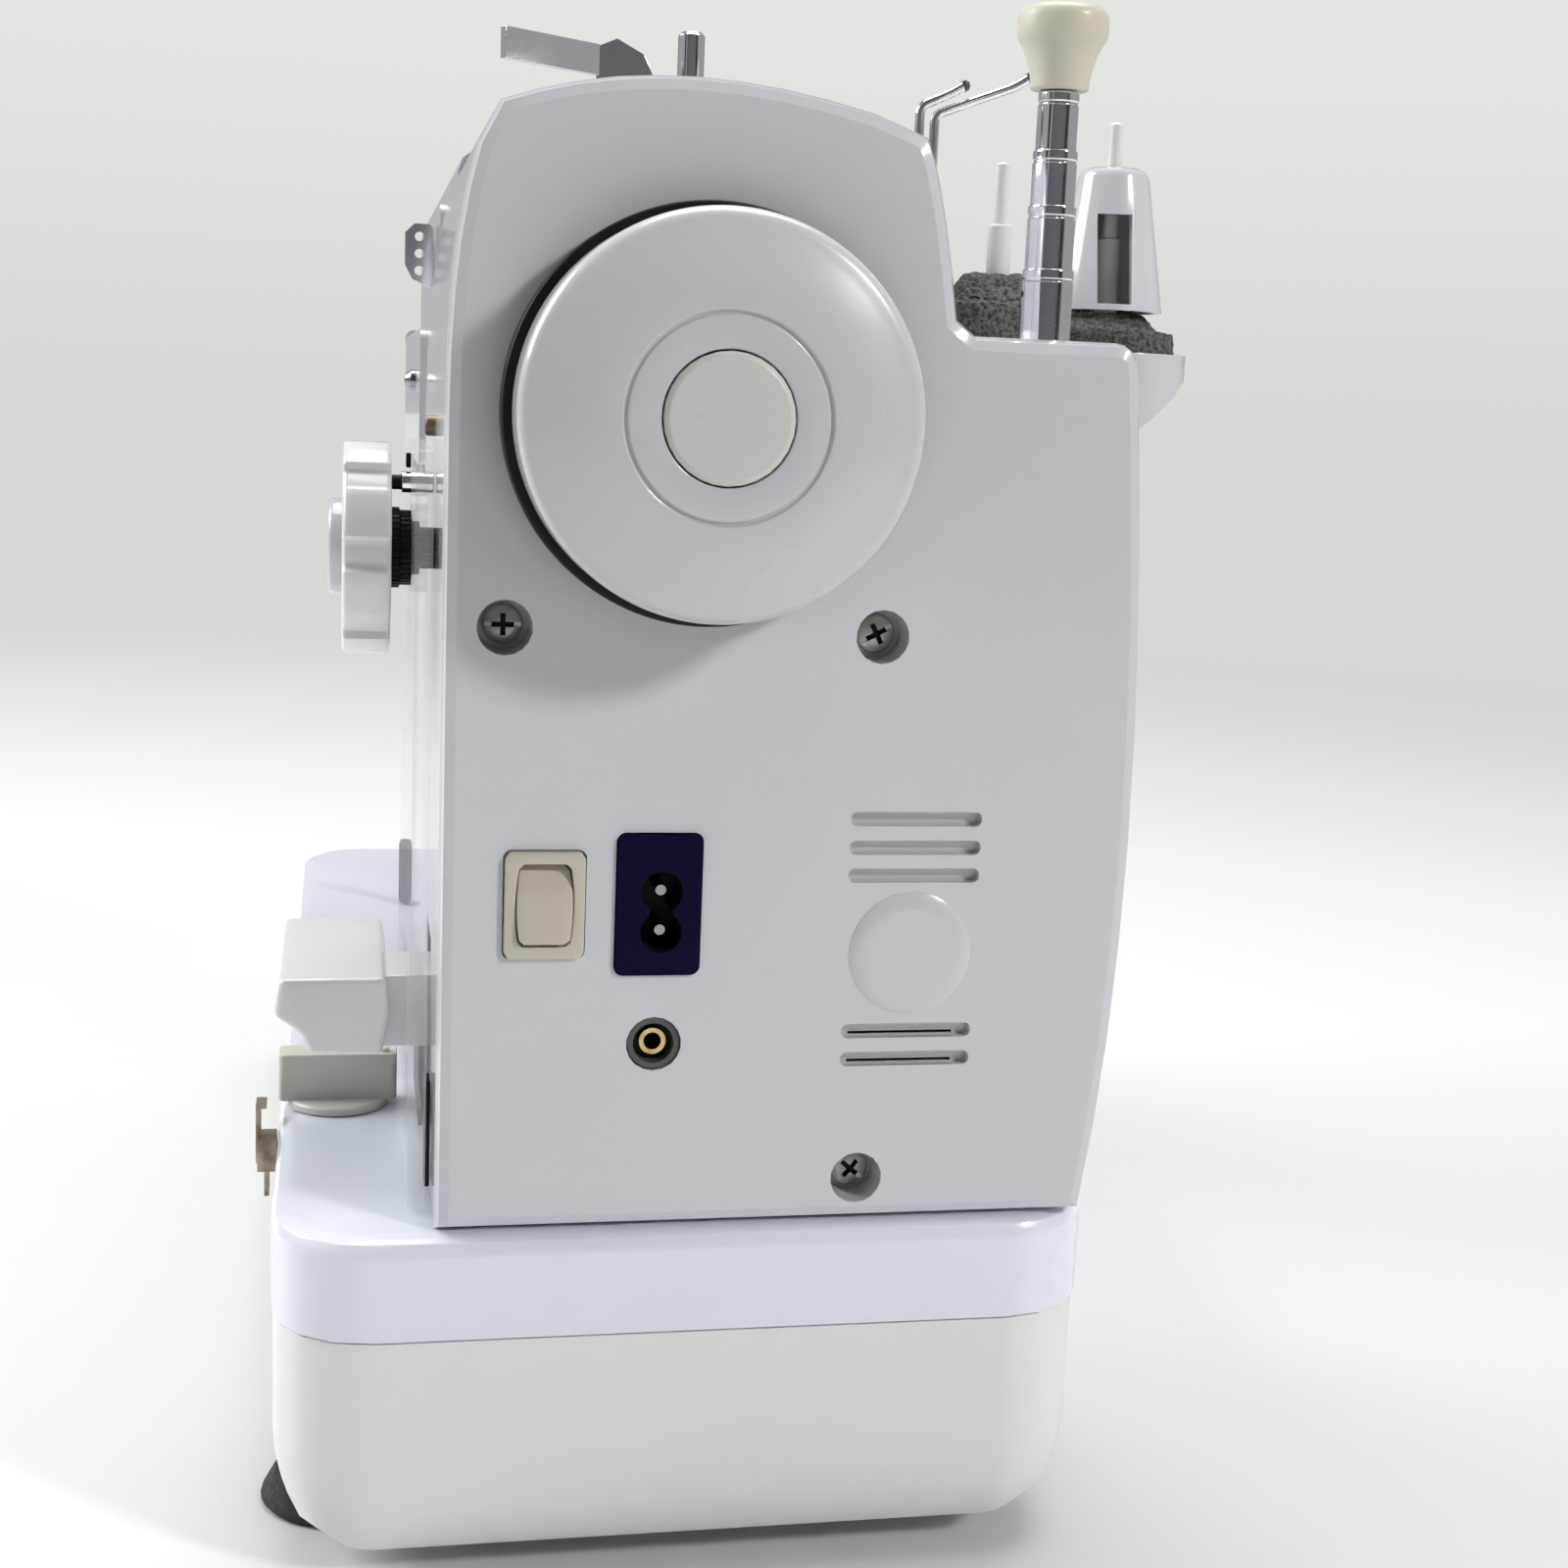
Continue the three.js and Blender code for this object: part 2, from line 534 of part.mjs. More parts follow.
function headHousing() {
  const span = [headLeft, headRight];
  const profile = armOutline(head.bottomZ, arm.corner);
  const body = prism("x", profile, span);
  const hollow = prism("x", inset(profile, WALL), [span[0] - 1, span[1] - WALL]);
  const innerArm = inset(armOutline(arm.bottomZ, arm.corner), WALL);
  const doorway = prism("x", innerArm, [span[1] - WALL - 1, span[1] + 1]);
  const floorZ = [head.bottomZ - 1, head.bottomZ + WALL + 1];
  const belly = box([needleX - 16, needleX + 18], [needle.y - 14, arm.backY - WALL - 1], floorZ);
  const lifterGap = [lifterX[0] - 0.8, lifterX[1] + 0.8];
  const backWall = [arm.backY - WALL - 6, arm.backY + 1];
  const lifterSlot = box(lifterGap, backWall, [head.bottomZ - 1, lifter.pivotZ + 6]);
  const takeUpGap = [takeUpX[0] - 1, takeUpX[1] + 1];
  const takeUpSlot = box(takeUpGap, [arm.frontY - 1, arm.frontY + WALL + 2], [205, takeUp.tipZ + 20]);
  const tensionHole = rod("y", [tension.x, tension.z], [arm.frontY - 1, arm.frontY + 6], 3 + GAP);
  return cut(body, [hollow, doorway, belly, lifterSlot, takeUpSlot, tensionHole]);
}

function faceCover() {
  const span = [headLeft - GAP - face.depth, headLeft - GAP];
  const profile = armOutline(head.bottomZ, arm.corner);
  const body = prism("x", profile, [span[0], span[1] + 6], 4);
  const trimmed = body.intersect(box([span[0] - 1, span[1]], [-200, 200], [0, 400]));
  return trimmed.subtract(prism("x", inset(profile, WALL + 1), [span[0] + WALL, span[1] + 1]));
}

function sideCover() {
  const profile = columnOutline();
  const body = prism("x", profile, [coverLeft - 6, 0], endCover.bevel);
  const cap = body.intersect(box([coverLeft, 5], [-200, 200], [0, 400]));
  const hollow = prism("x", inset(profile, WALL + 1), [coverLeft - 1, -WALL]);
  const { radius, proud, slope } = boss;
  const discProfile = [[0, -1], [radius, -1], [radius, 0.1], [radius - slope, proud], [0, proud]];
  const disc = turned("x", [boss.y, boss.z], discProfile, 36);
  return cut(union([cap.subtract(hollow), disc, ...screwTurrets()]), [...coverHoles(), ...screwHoles()]);
}

function screwTurrets() {
  return screwPlaces.map((c) => rod("x", c, [-screw.depth - 4, -1], screw.hole + 2, 12));
}

function screwHoles() {
  const sink = screwPlaces.map((c) => rod("x", c, [-screw.depth, 1], screw.hole, 18));
  const through = screwPlaces.map((c) => rod("x", c, [-screw.depth - 6, 1], 2.2, 8));
  return [...sink, ...through];
}

function coverHoles() {
  const wall = [-WALL - 2, 4];
  const grooves = [...vents.upper, ...vents.lower].map((z) => {
    const outline = roundedOutline([vents.y0, vents.y1], spanAbout(z, vents.height), 1.5);
    return prism("x", outline, [-vents.depth, 1]);
  });
  const slits = vents.lower.map((z) => {
    const slitZ = spanAbout(z - vents.height / 2 + 0.6, vents.slit);
    return box([-WALL - 1, 0], [vents.y0 + 2, vents.y1 - 3.5], slitZ);
  });
  return [
    ...grooves,
    ...slits,
    rod("x", [wheel.y, wheel.z], wall, shaft.radius + 3),
    prism("x", fittingOutline(rocker, GAP), wall),
    prism("x", fittingOutline(inlet, GAP), wall),
    rod("x", [jack.y, jack.z], wall, jack.radius + GAP),
  ];
}

// The face of a rectangular fitting in the end cover, grown by a clearance all round.
function fittingOutline({ y, z, width, height, corner }, clearance) {
  const grown = 2 * clearance;
  return roundedOutline(spanAbout(y, width + grown), spanAbout(z, height + grown), corner + clearance);
}

function spanAbout(middle, width) {
  return [middle - width / 2, middle + width / 2];
}

function coverScrew(centre) {
  const back = -screw.depth + GAP;
  const r = screw.head;
  const headProfile = [[0, back], [r, back], [r, back + 1.6], [r - 1.6, back + 3], [0, back + 3]];
  const screwHead = turned("x", centre, headProfile, 16);
  const shank = rod("x", centre, [-screw.depth - 10, back + 1], 1.9, 8);
  const [y, z] = centre;
  const depth = [back + 1.2, back + 4];
  const upright = box(depth, spanAbout(y, 1.2), spanAbout(z, 4.8));
  const level = box(depth, spanAbout(y, 4.8), spanAbout(z, 1.2));
  return cut(screwHead.add(shank), [upright, level]);
}

// ---------------------------------------------------------------- end-panel fittings

function switchFrame() {
  const { y, z, width, radius, rim } = rocker;
  const well = box([-17, 3], spanAbout(y, width - 2 * rim), spanAbout(z, 2 * radius + 2 * GAP));
  return prism("x", fittingOutline(rocker, 0), [-20, 1.4]).subtract(well);
}

function rockerButton() {
  const width = rocker.width - 2 * rocker.rim - 2 * GAP;
  const spanY = spanAbout(rocker.y, width);
  const pivotX = -1;
  const { radius, z } = rocker;
  const drum = prism("y", arc([pivotX, z], radius, 0, 2 * Math.PI, 32).slice(0, 32), spanY);
  const wings = [[-8, z - 9], [3.6, z - 9], [1.4, z], [-0.4, z + 9], [-8, z + 9]];
  return drum.intersect(prism("y", wings, [spanY[0] - 1, spanY[1] + 1]));
}

function powerInlet() {
  const flange = prism("x", fittingOutline(inlet, 0), [-20, 0.9]);
  const offset = inlet.pinGap / 2;
  const centres = [[inlet.y + 0.6, inlet.z - 1.5 + offset], [inlet.y + 0.6, inlet.z - 1.5 - offset]];
  const depth = [0.9 - inlet.cavity, 2];
  const lobes = centres.map((c) => rod("x", c, depth, inlet.lobe, 20));
  const waist = box(depth, spanAbout(centres[0][0], inlet.waist), [centres[1][1], centres[0][1]]);
  const pins = centres.map((c) => rod("x", c, [-inlet.cavity, -1.5], inlet.pinRadius, 12));
  return union([cut(flange, [...lobes, waist]), ...pins]);
}

function pedalJack() {
  const barrel = rod("x", [jack.y, jack.z], [-20, -0.6], jack.radius);
  const mouth = rod("x", [jack.y, jack.z], [-4, 1], jack.radius - 1.2);
  const core = rod("x", [jack.y, jack.z], [-16, 1], jack.bore - 1);
  const collar = ring("x", [jack.y, jack.z], [-5, -2.2], jack.bore - 1, jack.bore, 20);
  return union([cut(barrel, [mouth, core]), collar]);
}

// ---------------------------------------------------------------- drive

// The inner casting: a post in the column, a beam through the arm and the head's two bar guides.
function innerCasting() {
  const { postFront, postBack, halfWidth, beamRise, beamTop } = mainFrame;
  const { z } = wheel;
  const beamZ = [z + beamRise, z + beamTop];
  const beamY = [-halfWidth, halfWidth];
  const endX = [needleX - 12, needleX + 5];
  const post = box(postX, [postFront, postBack], [columnBottom + GAP, z + beamTop]);
  const beam = box([headRight - 20, postX[1]], beamY, beamZ);
  const lugs = [postX, [plateRight + 1, plateRight + 13]].map((x) => box(x, beamY, [z - 11, z + halfWidth]));
  const tail = box([needleX - 12, headRight - 14], [-2, halfWidth], beamZ);
  const back = box(endX, [30, 36], [150, z + beamTop]);
  const bridge = box(endX, [-2, 36], [z + 12, z + beamTop]);
  const guides = [150, 226].map((z0) => box([needleX - 8, needleX + 5], [-6, 31], [z0, z0 + 8]));
  const bores = [
    rod("x", [wheel.y, z], [plateRight - 9, postX[1] + 8], shaft.radius + RUN),
    rod("z", [needleX, needle.y], [140, 250], needleBar.radius + RUN),
    rod("z", [needleX, presser.y], [140, 250], presser.radius + RUN),
  ];
  return cut(union([post, beam, tail, back, bridge, ...lugs, ...guides]), bores);
}

function mainShaft() {
  const centre = [wheel.y, wheel.z];
  const bar = rod("x", centre, [-284, wheel.from - GAP], shaft.radius);
  const crank = rod("x", centre, [-284, -279], 9.6);
  const counterweight = rod("x", centre, [-279.5, -275], 8);
  const driven = rod("x", centre, bigPulleyX, bigPulley.radius, 30);
  const toothed = rod("x", centre, timingX, timing.upperRadius);
  return union([bar, crank, counterweight, driven, toothed]);
}

function handwheel() {
  const { radius, from, to, dome, grooveRadius, groove, capRadius } = wheel;
  const tip = to + dome;
  const floor = tip - 2 * groove;
  const backEdge = [[radius - 1.5, from], [radius, from + 1.5]];
  const frontEdge = [[radius, to - 4], [radius - 1, to - 1.2], [radius - 4, to]];
  const ringGroove = [
    [grooveRadius + 2 * groove, tip], [grooveRadius + groove, floor],
    [grooveRadius - groove, floor], [grooveRadius - 2 * groove, tip],
  ];
  const seat = [[capRadius + GAP, tip], [capRadius + GAP, tip - 6], [0, tip - 6]];
  const profile = [[0, from], ...backEdge, ...frontEdge, ...ringGroove, ...seat];
  return turned("x", [wheel.y, wheel.z], profile, 44);
}

function handwheelCap() {
  const tip = wheel.to + wheel.dome;
  const r = wheel.capRadius;
  const side = [[0, tip - 5.7], [r, tip - 5.7], [r, tip + 0.2], [r - 1, tip + 0.9], [0, tip + 1.3]];
  return turned("x", [wheel.y, wheel.z], side, 28);
}

function handwheelBack() {
  const { radius, from, thickness } = wheelBack;
  const to = from + thickness;
  const inner = shaft.radius + GAP;
  const rim = [[radius - 1, from], [radius, from + 1], [radius, to - 1], [radius - 1, to]];
  const profile = [[inner, from], ...rim, [inner, to], [inner, from]];
  return turned("x", [wheel.y, wheel.z], profile, 40);
}

// A flat belt round two pulleys, as the outline of the pair less the pulleys' own room.
function beltLoop([x0, x1], [c1, r1], [c2, r2]) {
  const outside = wrap([c1, r1 + GAP + belt.thickness], [c2, r2 + GAP + belt.thickness]);
  const inside = wrap([c1, r1 + GAP], [c2, r2 + GAP]);
  const loop = prism("x", outside, [x0 + belt.narrower, x1 - belt.narrower]);
  return loop.subtract(prism("x", inside, [x0 - 1, x1 + 1]));
}

// The convex outline round two circles, anticlockwise.
function wrap([c1, r1], [c2, r2]) {
  const [du, dv] = [c2[0] - c1[0], c2[1] - c1[1]];
  const heading = Math.atan2(dv, du);
  const lean = Math.acos((r1 - r2) / Math.hypot(du, dv));
  const first = arc(c1, r1, heading + lean, heading + 2 * Math.PI - lean, 20);
  const second = arc(c2, r2, heading - lean, heading + lean, 14);
  return [...first, ...second];
}

function motorBelt() {
  const driven = [[wheel.y, wheel.z], bigPulley.radius];
  return beltLoop(bigPulleyX, driven, [[motor.y, motor.z], motor.pulleyRadius]);
}

function timingBelt() {
  const upper = [[wheel.y, wheel.z], timing.upperRadius];
  return beltLoop(timingX, upper, [[wheel.y, shaft.lowerZ], timing.lowerRadius]);
}

function motorCan() {
  const centre = [motor.y, motor.z];
  const [left, right] = motorX;
  const r = motor.radius;
  const canProfile = [[0, left], [r - 3, left], [r, left + 3], [r, right - 2], [r - 2, right], [0, right]];
  const can = turned("x", centre, canProfile, 32);
  const shoeZ = [columnBottom + WALL + GAP, motor.z - 15];
  const shoe = box([left + 8, right - 8], spanAbout(motor.y, 36), shoeZ);
  const bore = rod("x", centre, [motorX[1] - 14, motorX[1] + 1], 2.5 + RUN, 16);
  return can.add(shoe).subtract(bore);
}

function motorRotor() {
  const centre = [motor.y, motor.z];
  const spindle = rod("x", centre, [motorX[1] - 12, bigPulleyX[1]], 2.5, 16);
  return spindle.add(rod("x", centre, bigPulleyX, motor.pulleyRadius));
}

function lowerShaft() {
  const centre = [wheel.y, shaft.lowerZ];
  const left = needleX - 3;
  const bar = rod("x", centre, [left, timingX[1] + 2], shaft.lowerRadius);
  return bar.add(rod("x", centre, timingX, timing.lowerRadius));
}

function rotaryHook() {
  const right = needleX - 3 - GAP;
  const left = right - hook.width;
  const centre = [wheel.y, shaft.lowerZ];
  const { radius } = hook;
  const rim = [[radius - 2, left], [radius, left + 2], [radius, right - 2], [radius - 2, right]];
  const basket = turned("x", centre, [[0, left], ...rim, [0, right]], 32);
  const bobbinRoom = rod("x", centre, [left - 1, right - 4], radius - 3);
  const hub = rod("x", centre, [left + 2, right - 3], 3, 16);
  const beakY = [wheel.y + 2, wheel.y + radius + 1];
  const beak = box([left + 3, right - 5], beakY, [shaft.lowerZ + 6, shaft.lowerZ + 9]);
  return cut(basket, [bobbinRoom, beak]).add(hub);
}

function feedDog() {
  const { halfLength, rowWidth, rowOffset, proud } = dog;
  const outer = rowOffset + rowWidth / 2;
  const frame = box([needleX - outer, needleX + outer], [-halfLength, halfLength], [67.5, 75]);
  const eye = box([needleX - 2.6, needleX + 2.6], [-8, 8], [66, 76]);
  const rows = [-1, 1].map((side) => {
    const x = needleX + side * rowOffset;
    return prism("x", toothedRow(halfLength, bedTop + proud), [x - rowWidth / 2, x + rowWidth / 2]);
  });
  return cut(union([frame, ...rows]), [eye]);
}

function toothedRow(half, top) {
  const pitch = 2;
  const teeth = Array.from({ length: half }, (_, i) => {
    const start = -half + i * pitch;
    return [[start, top - 0.8], [start + 0.8 * pitch, top]];
  }).flat();
  return [[half, 74], [half, top - 0.8], ...teeth.reverse(), [-half, 74]].reverse();
}

// ---------------------------------------------------------------- needle end

function needleBarPiece() {
  const centre = [needleX, needle.y];
  const { radius, top, clampTop, clampBottom, clampRadius, tip } = needleBar;
  const profile = [
    [0, tip], [0.45, tip + 5], [0.6, tip + 6], [0.6, clampBottom - 8], [1, clampBottom - 7], [1, clampBottom],
    [clampRadius - 0.8, clampBottom], [clampRadius, clampBottom + 1], [clampRadius, clampTop - 1],
    [radius, clampTop], [radius, top], [0, top],
  ];
  const clampScrew = rod("x", [needle.y, clampBottom + 5], [needleX, needleX + 11], 2.2, 16);
  return turned("z", centre, profile, 20).add(clampScrew);
}

function presserPiece() {
  const bar = rod("z", [needleX, presser.y], [bedTop + 14, presser.top], presser.radius);
  const plan = roundedOutline([needleX - 8, needleX + 8], [-20, 14], 2);
  const toeGap = box([needleX - 2.2, needleX + 2.2], [-21, 3], [bedTop, bedTop + 4]);
  const sole = prism("z", plan, [bedTop + 1, bedTop + 2.8]).subtract(toeGap);
  const side = [[6, 2], [13, 2], [26, 16], [26, 30], [18, 30], [18, 18]];
  const placed = side.map(([y, rise]) => [y, bedTop + rise]);
  const shank = prism("x", placed, [needleX - 4, needleX + 4]);
  return union([bar, sole, shank]);
}

function presserLifter() {
  const { pivotY: y, pivotZ: z } = lifter;
  const eye = rod("x", [y, z], lifterX, 3.6, 20);
  const bar = [[-2.6, 0], [2.6, 0], [6, -28], [30, -42], [27, -47], [1.4, -31]];
  const grip = [[20, -40], [24, -36], [42, -48], [40, -53], [36, -54]];
  const place = (outline) => outline.map(([v, w]) => [y + v, z + w]);
  const gripX = [lifterX[0] - 4, lifterX[1] + 4];
  return union([eye, prism("x", place(bar).reverse(), lifterX), prism("x", place(grip).reverse(), gripX)]);
}

function takeUpLever() {
  const { pivotY: y, pivotZ: z, tipY, tipZ } = takeUp;
  const x = [takeUpX[0] + 0.6, takeUpX[1] - 0.6];
  const strip = [[y, z - 3], [y, z + 3], [tipY + 2, tipZ + 1.5], [tipY + 2, tipZ - 3]];
  const hub = rod("x", [y, z], x, 4, 20);
  const eyelet = ring("x", [tipY + 1.5, tipZ], x, 1.1, 3, 20);
  const hole = rod("x", [tipY + 1.5, tipZ], [x[0] - 1, x[1] + 1], 1.1, 20);
  return union([prism("x", strip, x), hub, eyelet]).subtract(hole);
}

function tensionDial() {
  const y = arm.frontY - GAP;
  const front = y - tension.depth;
  const r = tension.radius;
  const rim = [[r - 3, front], [r, front + 1], [r, y - 0.6], [r - 1, y]];
  const body = turned("y", [tension.x, tension.z], [[0, front], ...rim, [3, y], [3, y + 8], [0, y + 8]], 28);
  const places = circle([tension.x, tension.z], r + 1, 14);
  const notches = places.map((c) => rod("y", c, [front - 1, y + 1], 1.6, 6));
  return cut(body, notches);
}

// ---------------------------------------------------------------- front controls

function stitchDial() {
  const { x, z, radius, from, to, lobes, scallop, button, buttonRadius } = dial;
  const outline = Array.from({ length: lobes * 6 }, (_, i) => {
    const angle = (i * Math.PI) / (lobes * 3);
    const r = i % 6 < 4 ? radius : radius - scallop;
    return [x + r * Math.cos(angle), z + r * Math.sin(angle)];
  });
  return prism("y", outline, [to, from], 0.8).add(rod("y", [x, z], [to - button, to + 1], buttonRadius, 24));
}

function dialHub() {
  const { x, z, from, hubRadius, hubTo, stemRadius } = dial;
  const start = from + GAP;
  const end = column.frontY + 8;
  const wide = [[0, start], [hubRadius, start], [hubRadius, hubTo]];
  return turned("y", [x, z], [...wide, [stemRadius, hubTo], [stemRadius, end], [0, end]], 28);
}

function dialStop() {
  const { rise, radius, tipRadius, from, tipFrom } = stop;
  const end = column.frontY - GAP;
  const tip = [[0, tipFrom], [tipRadius, tipFrom], [tipRadius, from]];
  return turned("y", [dial.x, dial.z + rise], [...tip, [radius, from], [radius, end], [0, end]], 20);
}

function clearPane() {
  const { right, width, frontY, backY, topZ } = pane;
  const outline = roundedOutline([right - width, right], [bedTop + 2 * GAP, topZ], 2);
  const body = prism("y", outline, [frontY, backY]);
  const holes = [
    rod("y", [dial.x, dial.z], [frontY - 1, backY + 1], dial.hubRadius + 0.9),
    rod("y", [dial.x, dial.z + stop.rise], [frontY - 1, backY + 1], stop.radius + 0.6, 16),
    box([stemX[0] - 1.5, stemX[1] + 1.5], [frontY - 1, backY + 1], [lever.bottomZ - 14, lever.topZ + 6]),
  ];
  return cut(body, holes);
}

function reverseLever() {
  const { right, width, topZ, bottomZ, frontY, backY, pivotY, pivotZ } = lever;
  const scoop = quadratic([frontY, topZ - 5.6], [frontY + 6.5, topZ - 8], [frontY + 7.4, bottomZ + 1], 5);
  const back = [[backY - 1.7, bottomZ], [backY, topZ - 1.6], [backY - 1, topZ]];
  const side = [[frontY + 0.8, topZ], ...scoop, [frontY + 8, bottomZ], ...back];
  const pad = prism("x", side, [right - width, right], 1);
  const stem = box(stemX, [backY - 2, pivotY + 6], [bottomZ + 0.5, topZ - 0.8]);
  const eye = rod("x", [pivotY, pivotZ], stemX, 7, 24);
  return union([pad, stem, eye]);
}

function feedKnob() {
  const { x, y, radius, disc, barLength, barWidth, barTop } = knob;
  const z0 = bedTop + GAP;
  const z1 = z0 + disc;
  const seatSide = [[0, z0], [radius, z0], [radius, z1 - 0.5], [radius - 0.5, z1], [0, z1]];
  const seat = turned("z", [x, y], seatSide, 32);
  const outline = roundedOutline(spanAbout(x, barWidth), spanAbout(y, barLength), 1.5);
  const bar = prism("z", outline, [z1 - 0.5, barTop], 0.4);
  const pip = rod("z", [x + 2.2, y + barLength / 2 - 3], [barTop - 1, barTop + 1], 1.2, 12);
  return union([seat, bar, pip]);
}

function threadGuide() {
  const { right, thickness, width, bottom, top, hole, pitch } = guide;
  const y1 = arm.frontY - panel.upperProud - GAP;
  const y0 = y1 - width;
  const spanX = [right - thickness, right];
  const upperEdge = [[y1, bottom], [y1, top - 1], [y1 - 1, top], [y0 + 2.4, top]];
  const side = [...upperEdge, [y0, top - 2.4], [y0, bottom + 6], [y0 + 2, bottom + 2.2]];
  const fin = prism("x", side.reverse(), spanX);
  const flange = box([right - 12, right - 0.3], [y1 - 1.6, y1], [bottom + 3, top - 4]);
  const middle = (bottom + top) / 2 + 0.6;
  const holes = [-1, 0, 1].map((i) => {
    return rod("x", [(y0 + y1) / 2, middle + i * pitch], [right - 4, right + 1], hole, 14);
  });
  return cut(fin.add(flange), holes);
}

// ---------------------------------------------------------------- top of the machine

function winderShaft() {
  const { x, y, radius, top, bottom } = winder;
  const side = [[0, bottom], [radius, bottom], [radius, top - 0.8], [radius - 0.8, top], [0, top]];
  const spindle = turned("z", [x, y], side, 24);
  const frictionWheel = rod("z", [x, y], [bottom - 6, bottom + 1], 9);
  const slot = box([x - 0.4, x + 0.4], [y - 5, y + 0.5], [top - 12, top + 1]);
  return spindle.add(frictionWheel).subtract(slot);
}

function winderLeverPiece() {
  const { x, y, thickness, bottom, top, reachX, reachY, postRadius } = winderLever;
  const t = thickness / 2;
  const camTop = [[y + 6.5, top - 8], [y + 4, top - 3], [y - 2, top], [y - 6.5, top - 2]];
  const camPlate = prism("x", [[y - 6.5, bottom], [y + 6.5, bottom], ...camTop], [x - t, x + t]);
  const tipX = x + reachX;
  const tip = [[tipX - 2, y - reachY], [tipX, y - reachY + 1]];
  const strip = [[x - t, y - 6], [x - t + 0.6, y - 8], ...tip, [x + t + 0.6, y - 6]];
  const blade = prism("z", strip, [top - 8.2, top - 1.6]);
  const post = rod("z", [x, y], [crown.peakZ - 14, bottom + 1], postRadius, 16);
  return union([camPlate, blade, post]);
}

function threadWire(y, [bendZ, endY, endZ, tipY, tipZ]) {
  const { x, radius } = wire;
  const seat = column.ledgeZ + 3 * GAP;
  const rise = [[y, seat], [y, seat + 20], [y, bendZ - 5]];
  const bend = [[y + 0.3, bendZ - 0.6], [y + 1.6, bendZ + 0.4]];
  const reach = [[endY - 1.5, endZ - 0.4], [endY, endZ + 0.3], [tipY, tipZ]];
  return bentWire([...rise, ...bend, ...reach].map(([v, w]) => [x, v, w]), radius);
}

function poleSection(index) {
  const outer = pole.radius - index * pole.step;
  const top = pole.tops[index];
  const bottom = column.ledgeZ - pole.sink + index * 8;
  const centre = [pole.x, pole.y];
  const body = rod("z", centre, [bottom, top], outer, 24);
  const last = index === pole.tops.length - 1;
  if (last) return body;
  return body.subtract(rod("z", centre, [bottom + 2, top + 1], outer - pole.wall, 24));
}

function poleCap() {
  const z = pole.tops.at(-1) + GAP;
  const { radius, waist, height, band } = cap;
  const top = z + height;
  const profile = [
    [0, z], [waist - 0.8, z], [waist, z + 0.8], [waist + 0.3, z + 4], [waist + 1.2, top - band - 3.4],
    [radius - 0.4, top - band - 0.8], [radius, top - band], [radius - 0.3, top - 1.8],
    [radius - 1.6, top - 0.6], [0, top],
  ];
  return turned("z", [pole.x, pole.y], profile, 32);
}

function spoolTray() {
  const { x, y } = pinB;
  const top = column.ledgeZ;
  const right = x + tray.radius;
  const left = x - tray.radius;
  const lip = y + tray.radius;
  const plan = new THREE.Shape();
  plan.moveTo(left, column.ledgeY - 2);
  plan.lineTo(right, column.ledgeY - 2);
  plan.lineTo(right, y);
  plan.absarc(x, y, tray.radius, 0, Math.PI);
  const shelf = prism("z", plan, [top - tray.thickness, top]);
  const rim = lip - 0.5;
  const under = top - tray.thickness;
  const root = under - tray.gusset;
  const wall = column.ledgeY - 2;
  const sweep = quadratic([wall + 8, root + 4], [wall + 28, under - 13], [rim - 1, under + 0.5], 6);
  const side = [[wall, root], ...sweep, [rim - 1, under + 0.5], [rim - 1, top - 1], [wall, top - 1]];
  const gusset = prism("x", side, [left, right]).intersect(prism("z", plan, [root - 1, top]));
  const dish = rod("z", [x, y], [top - 1.2, top + 1], tray.radius - 1.2, 32);
  const clearance = prism("x", inset(columnOutline(), -GAP), [left - 5, right + 5]);
  return cut(shelf.add(gusset), [dish, clearance]);
}

function spoolPin({ x, y, shoulder, top }, seat) {
  const { radius, tipRadius } = pin;
  const stem = [[0, seat], [radius, seat], [radius, shoulder - 0.4], [radius - 0.4, shoulder]];
  const tip = [[tipRadius, shoulder], [tipRadius - 0.3, top - 0.5], [tipRadius - 0.8, top], [0, top]];
  return turned("z", [x, y], [...stem, ...tip], 20);
}

function foamMat({ x, y, foam, foamRadius }, seat) {
  const inner = pin.radius + pin.bore;
  const top = seat + foam;
  const r = foamRadius;
  const outer = [[r - 0.8, seat], [r, seat + 1], [r, top - 2], [r - 0.6, top - 0.6], [r - 2, top]];
  return turned("z", [x, y], [[inner, seat], ...outer, [inner, top], [inner, seat]], 24);
}

function coneHolder() {
  const { baseRadius, topRadius, height, wall } = cone;
  const { x, y, foam } = pinB;
  const z = column.ledgeZ - 1.2 + GAP + foam + GAP;
  const top = z + height;
  const shoulder = [[topRadius + 0.8, top - 2.4], [topRadius - 0.4, top - 0.7], [topRadius - 2, top]];
  const outside = [[0, z], [baseRadius, z], ...shoulder, [0, top]];
  const roof = top - wall - 1;
  const inside = [[0, z - 1], [baseRadius - wall, z - 1], [topRadius - wall, roof], [0, roof]];
  const eye = rod("z", [x, y], [z, top + 1], pin.tipRadius + 0.6, 20);
  const windowY = spanAbout(y + coneWindow.offset, coneWindow.width);
  const windowBox = box([x + 4, x + baseRadius + 2], windowY, [z + wall, z + wall + coneWindow.height]);
  return cut(turned("z", [x, y], outside, 28), [turned("z", [x, y], inside, 28), eye, windowBox]);
}

// ---------------------------------------------------------------- assembly

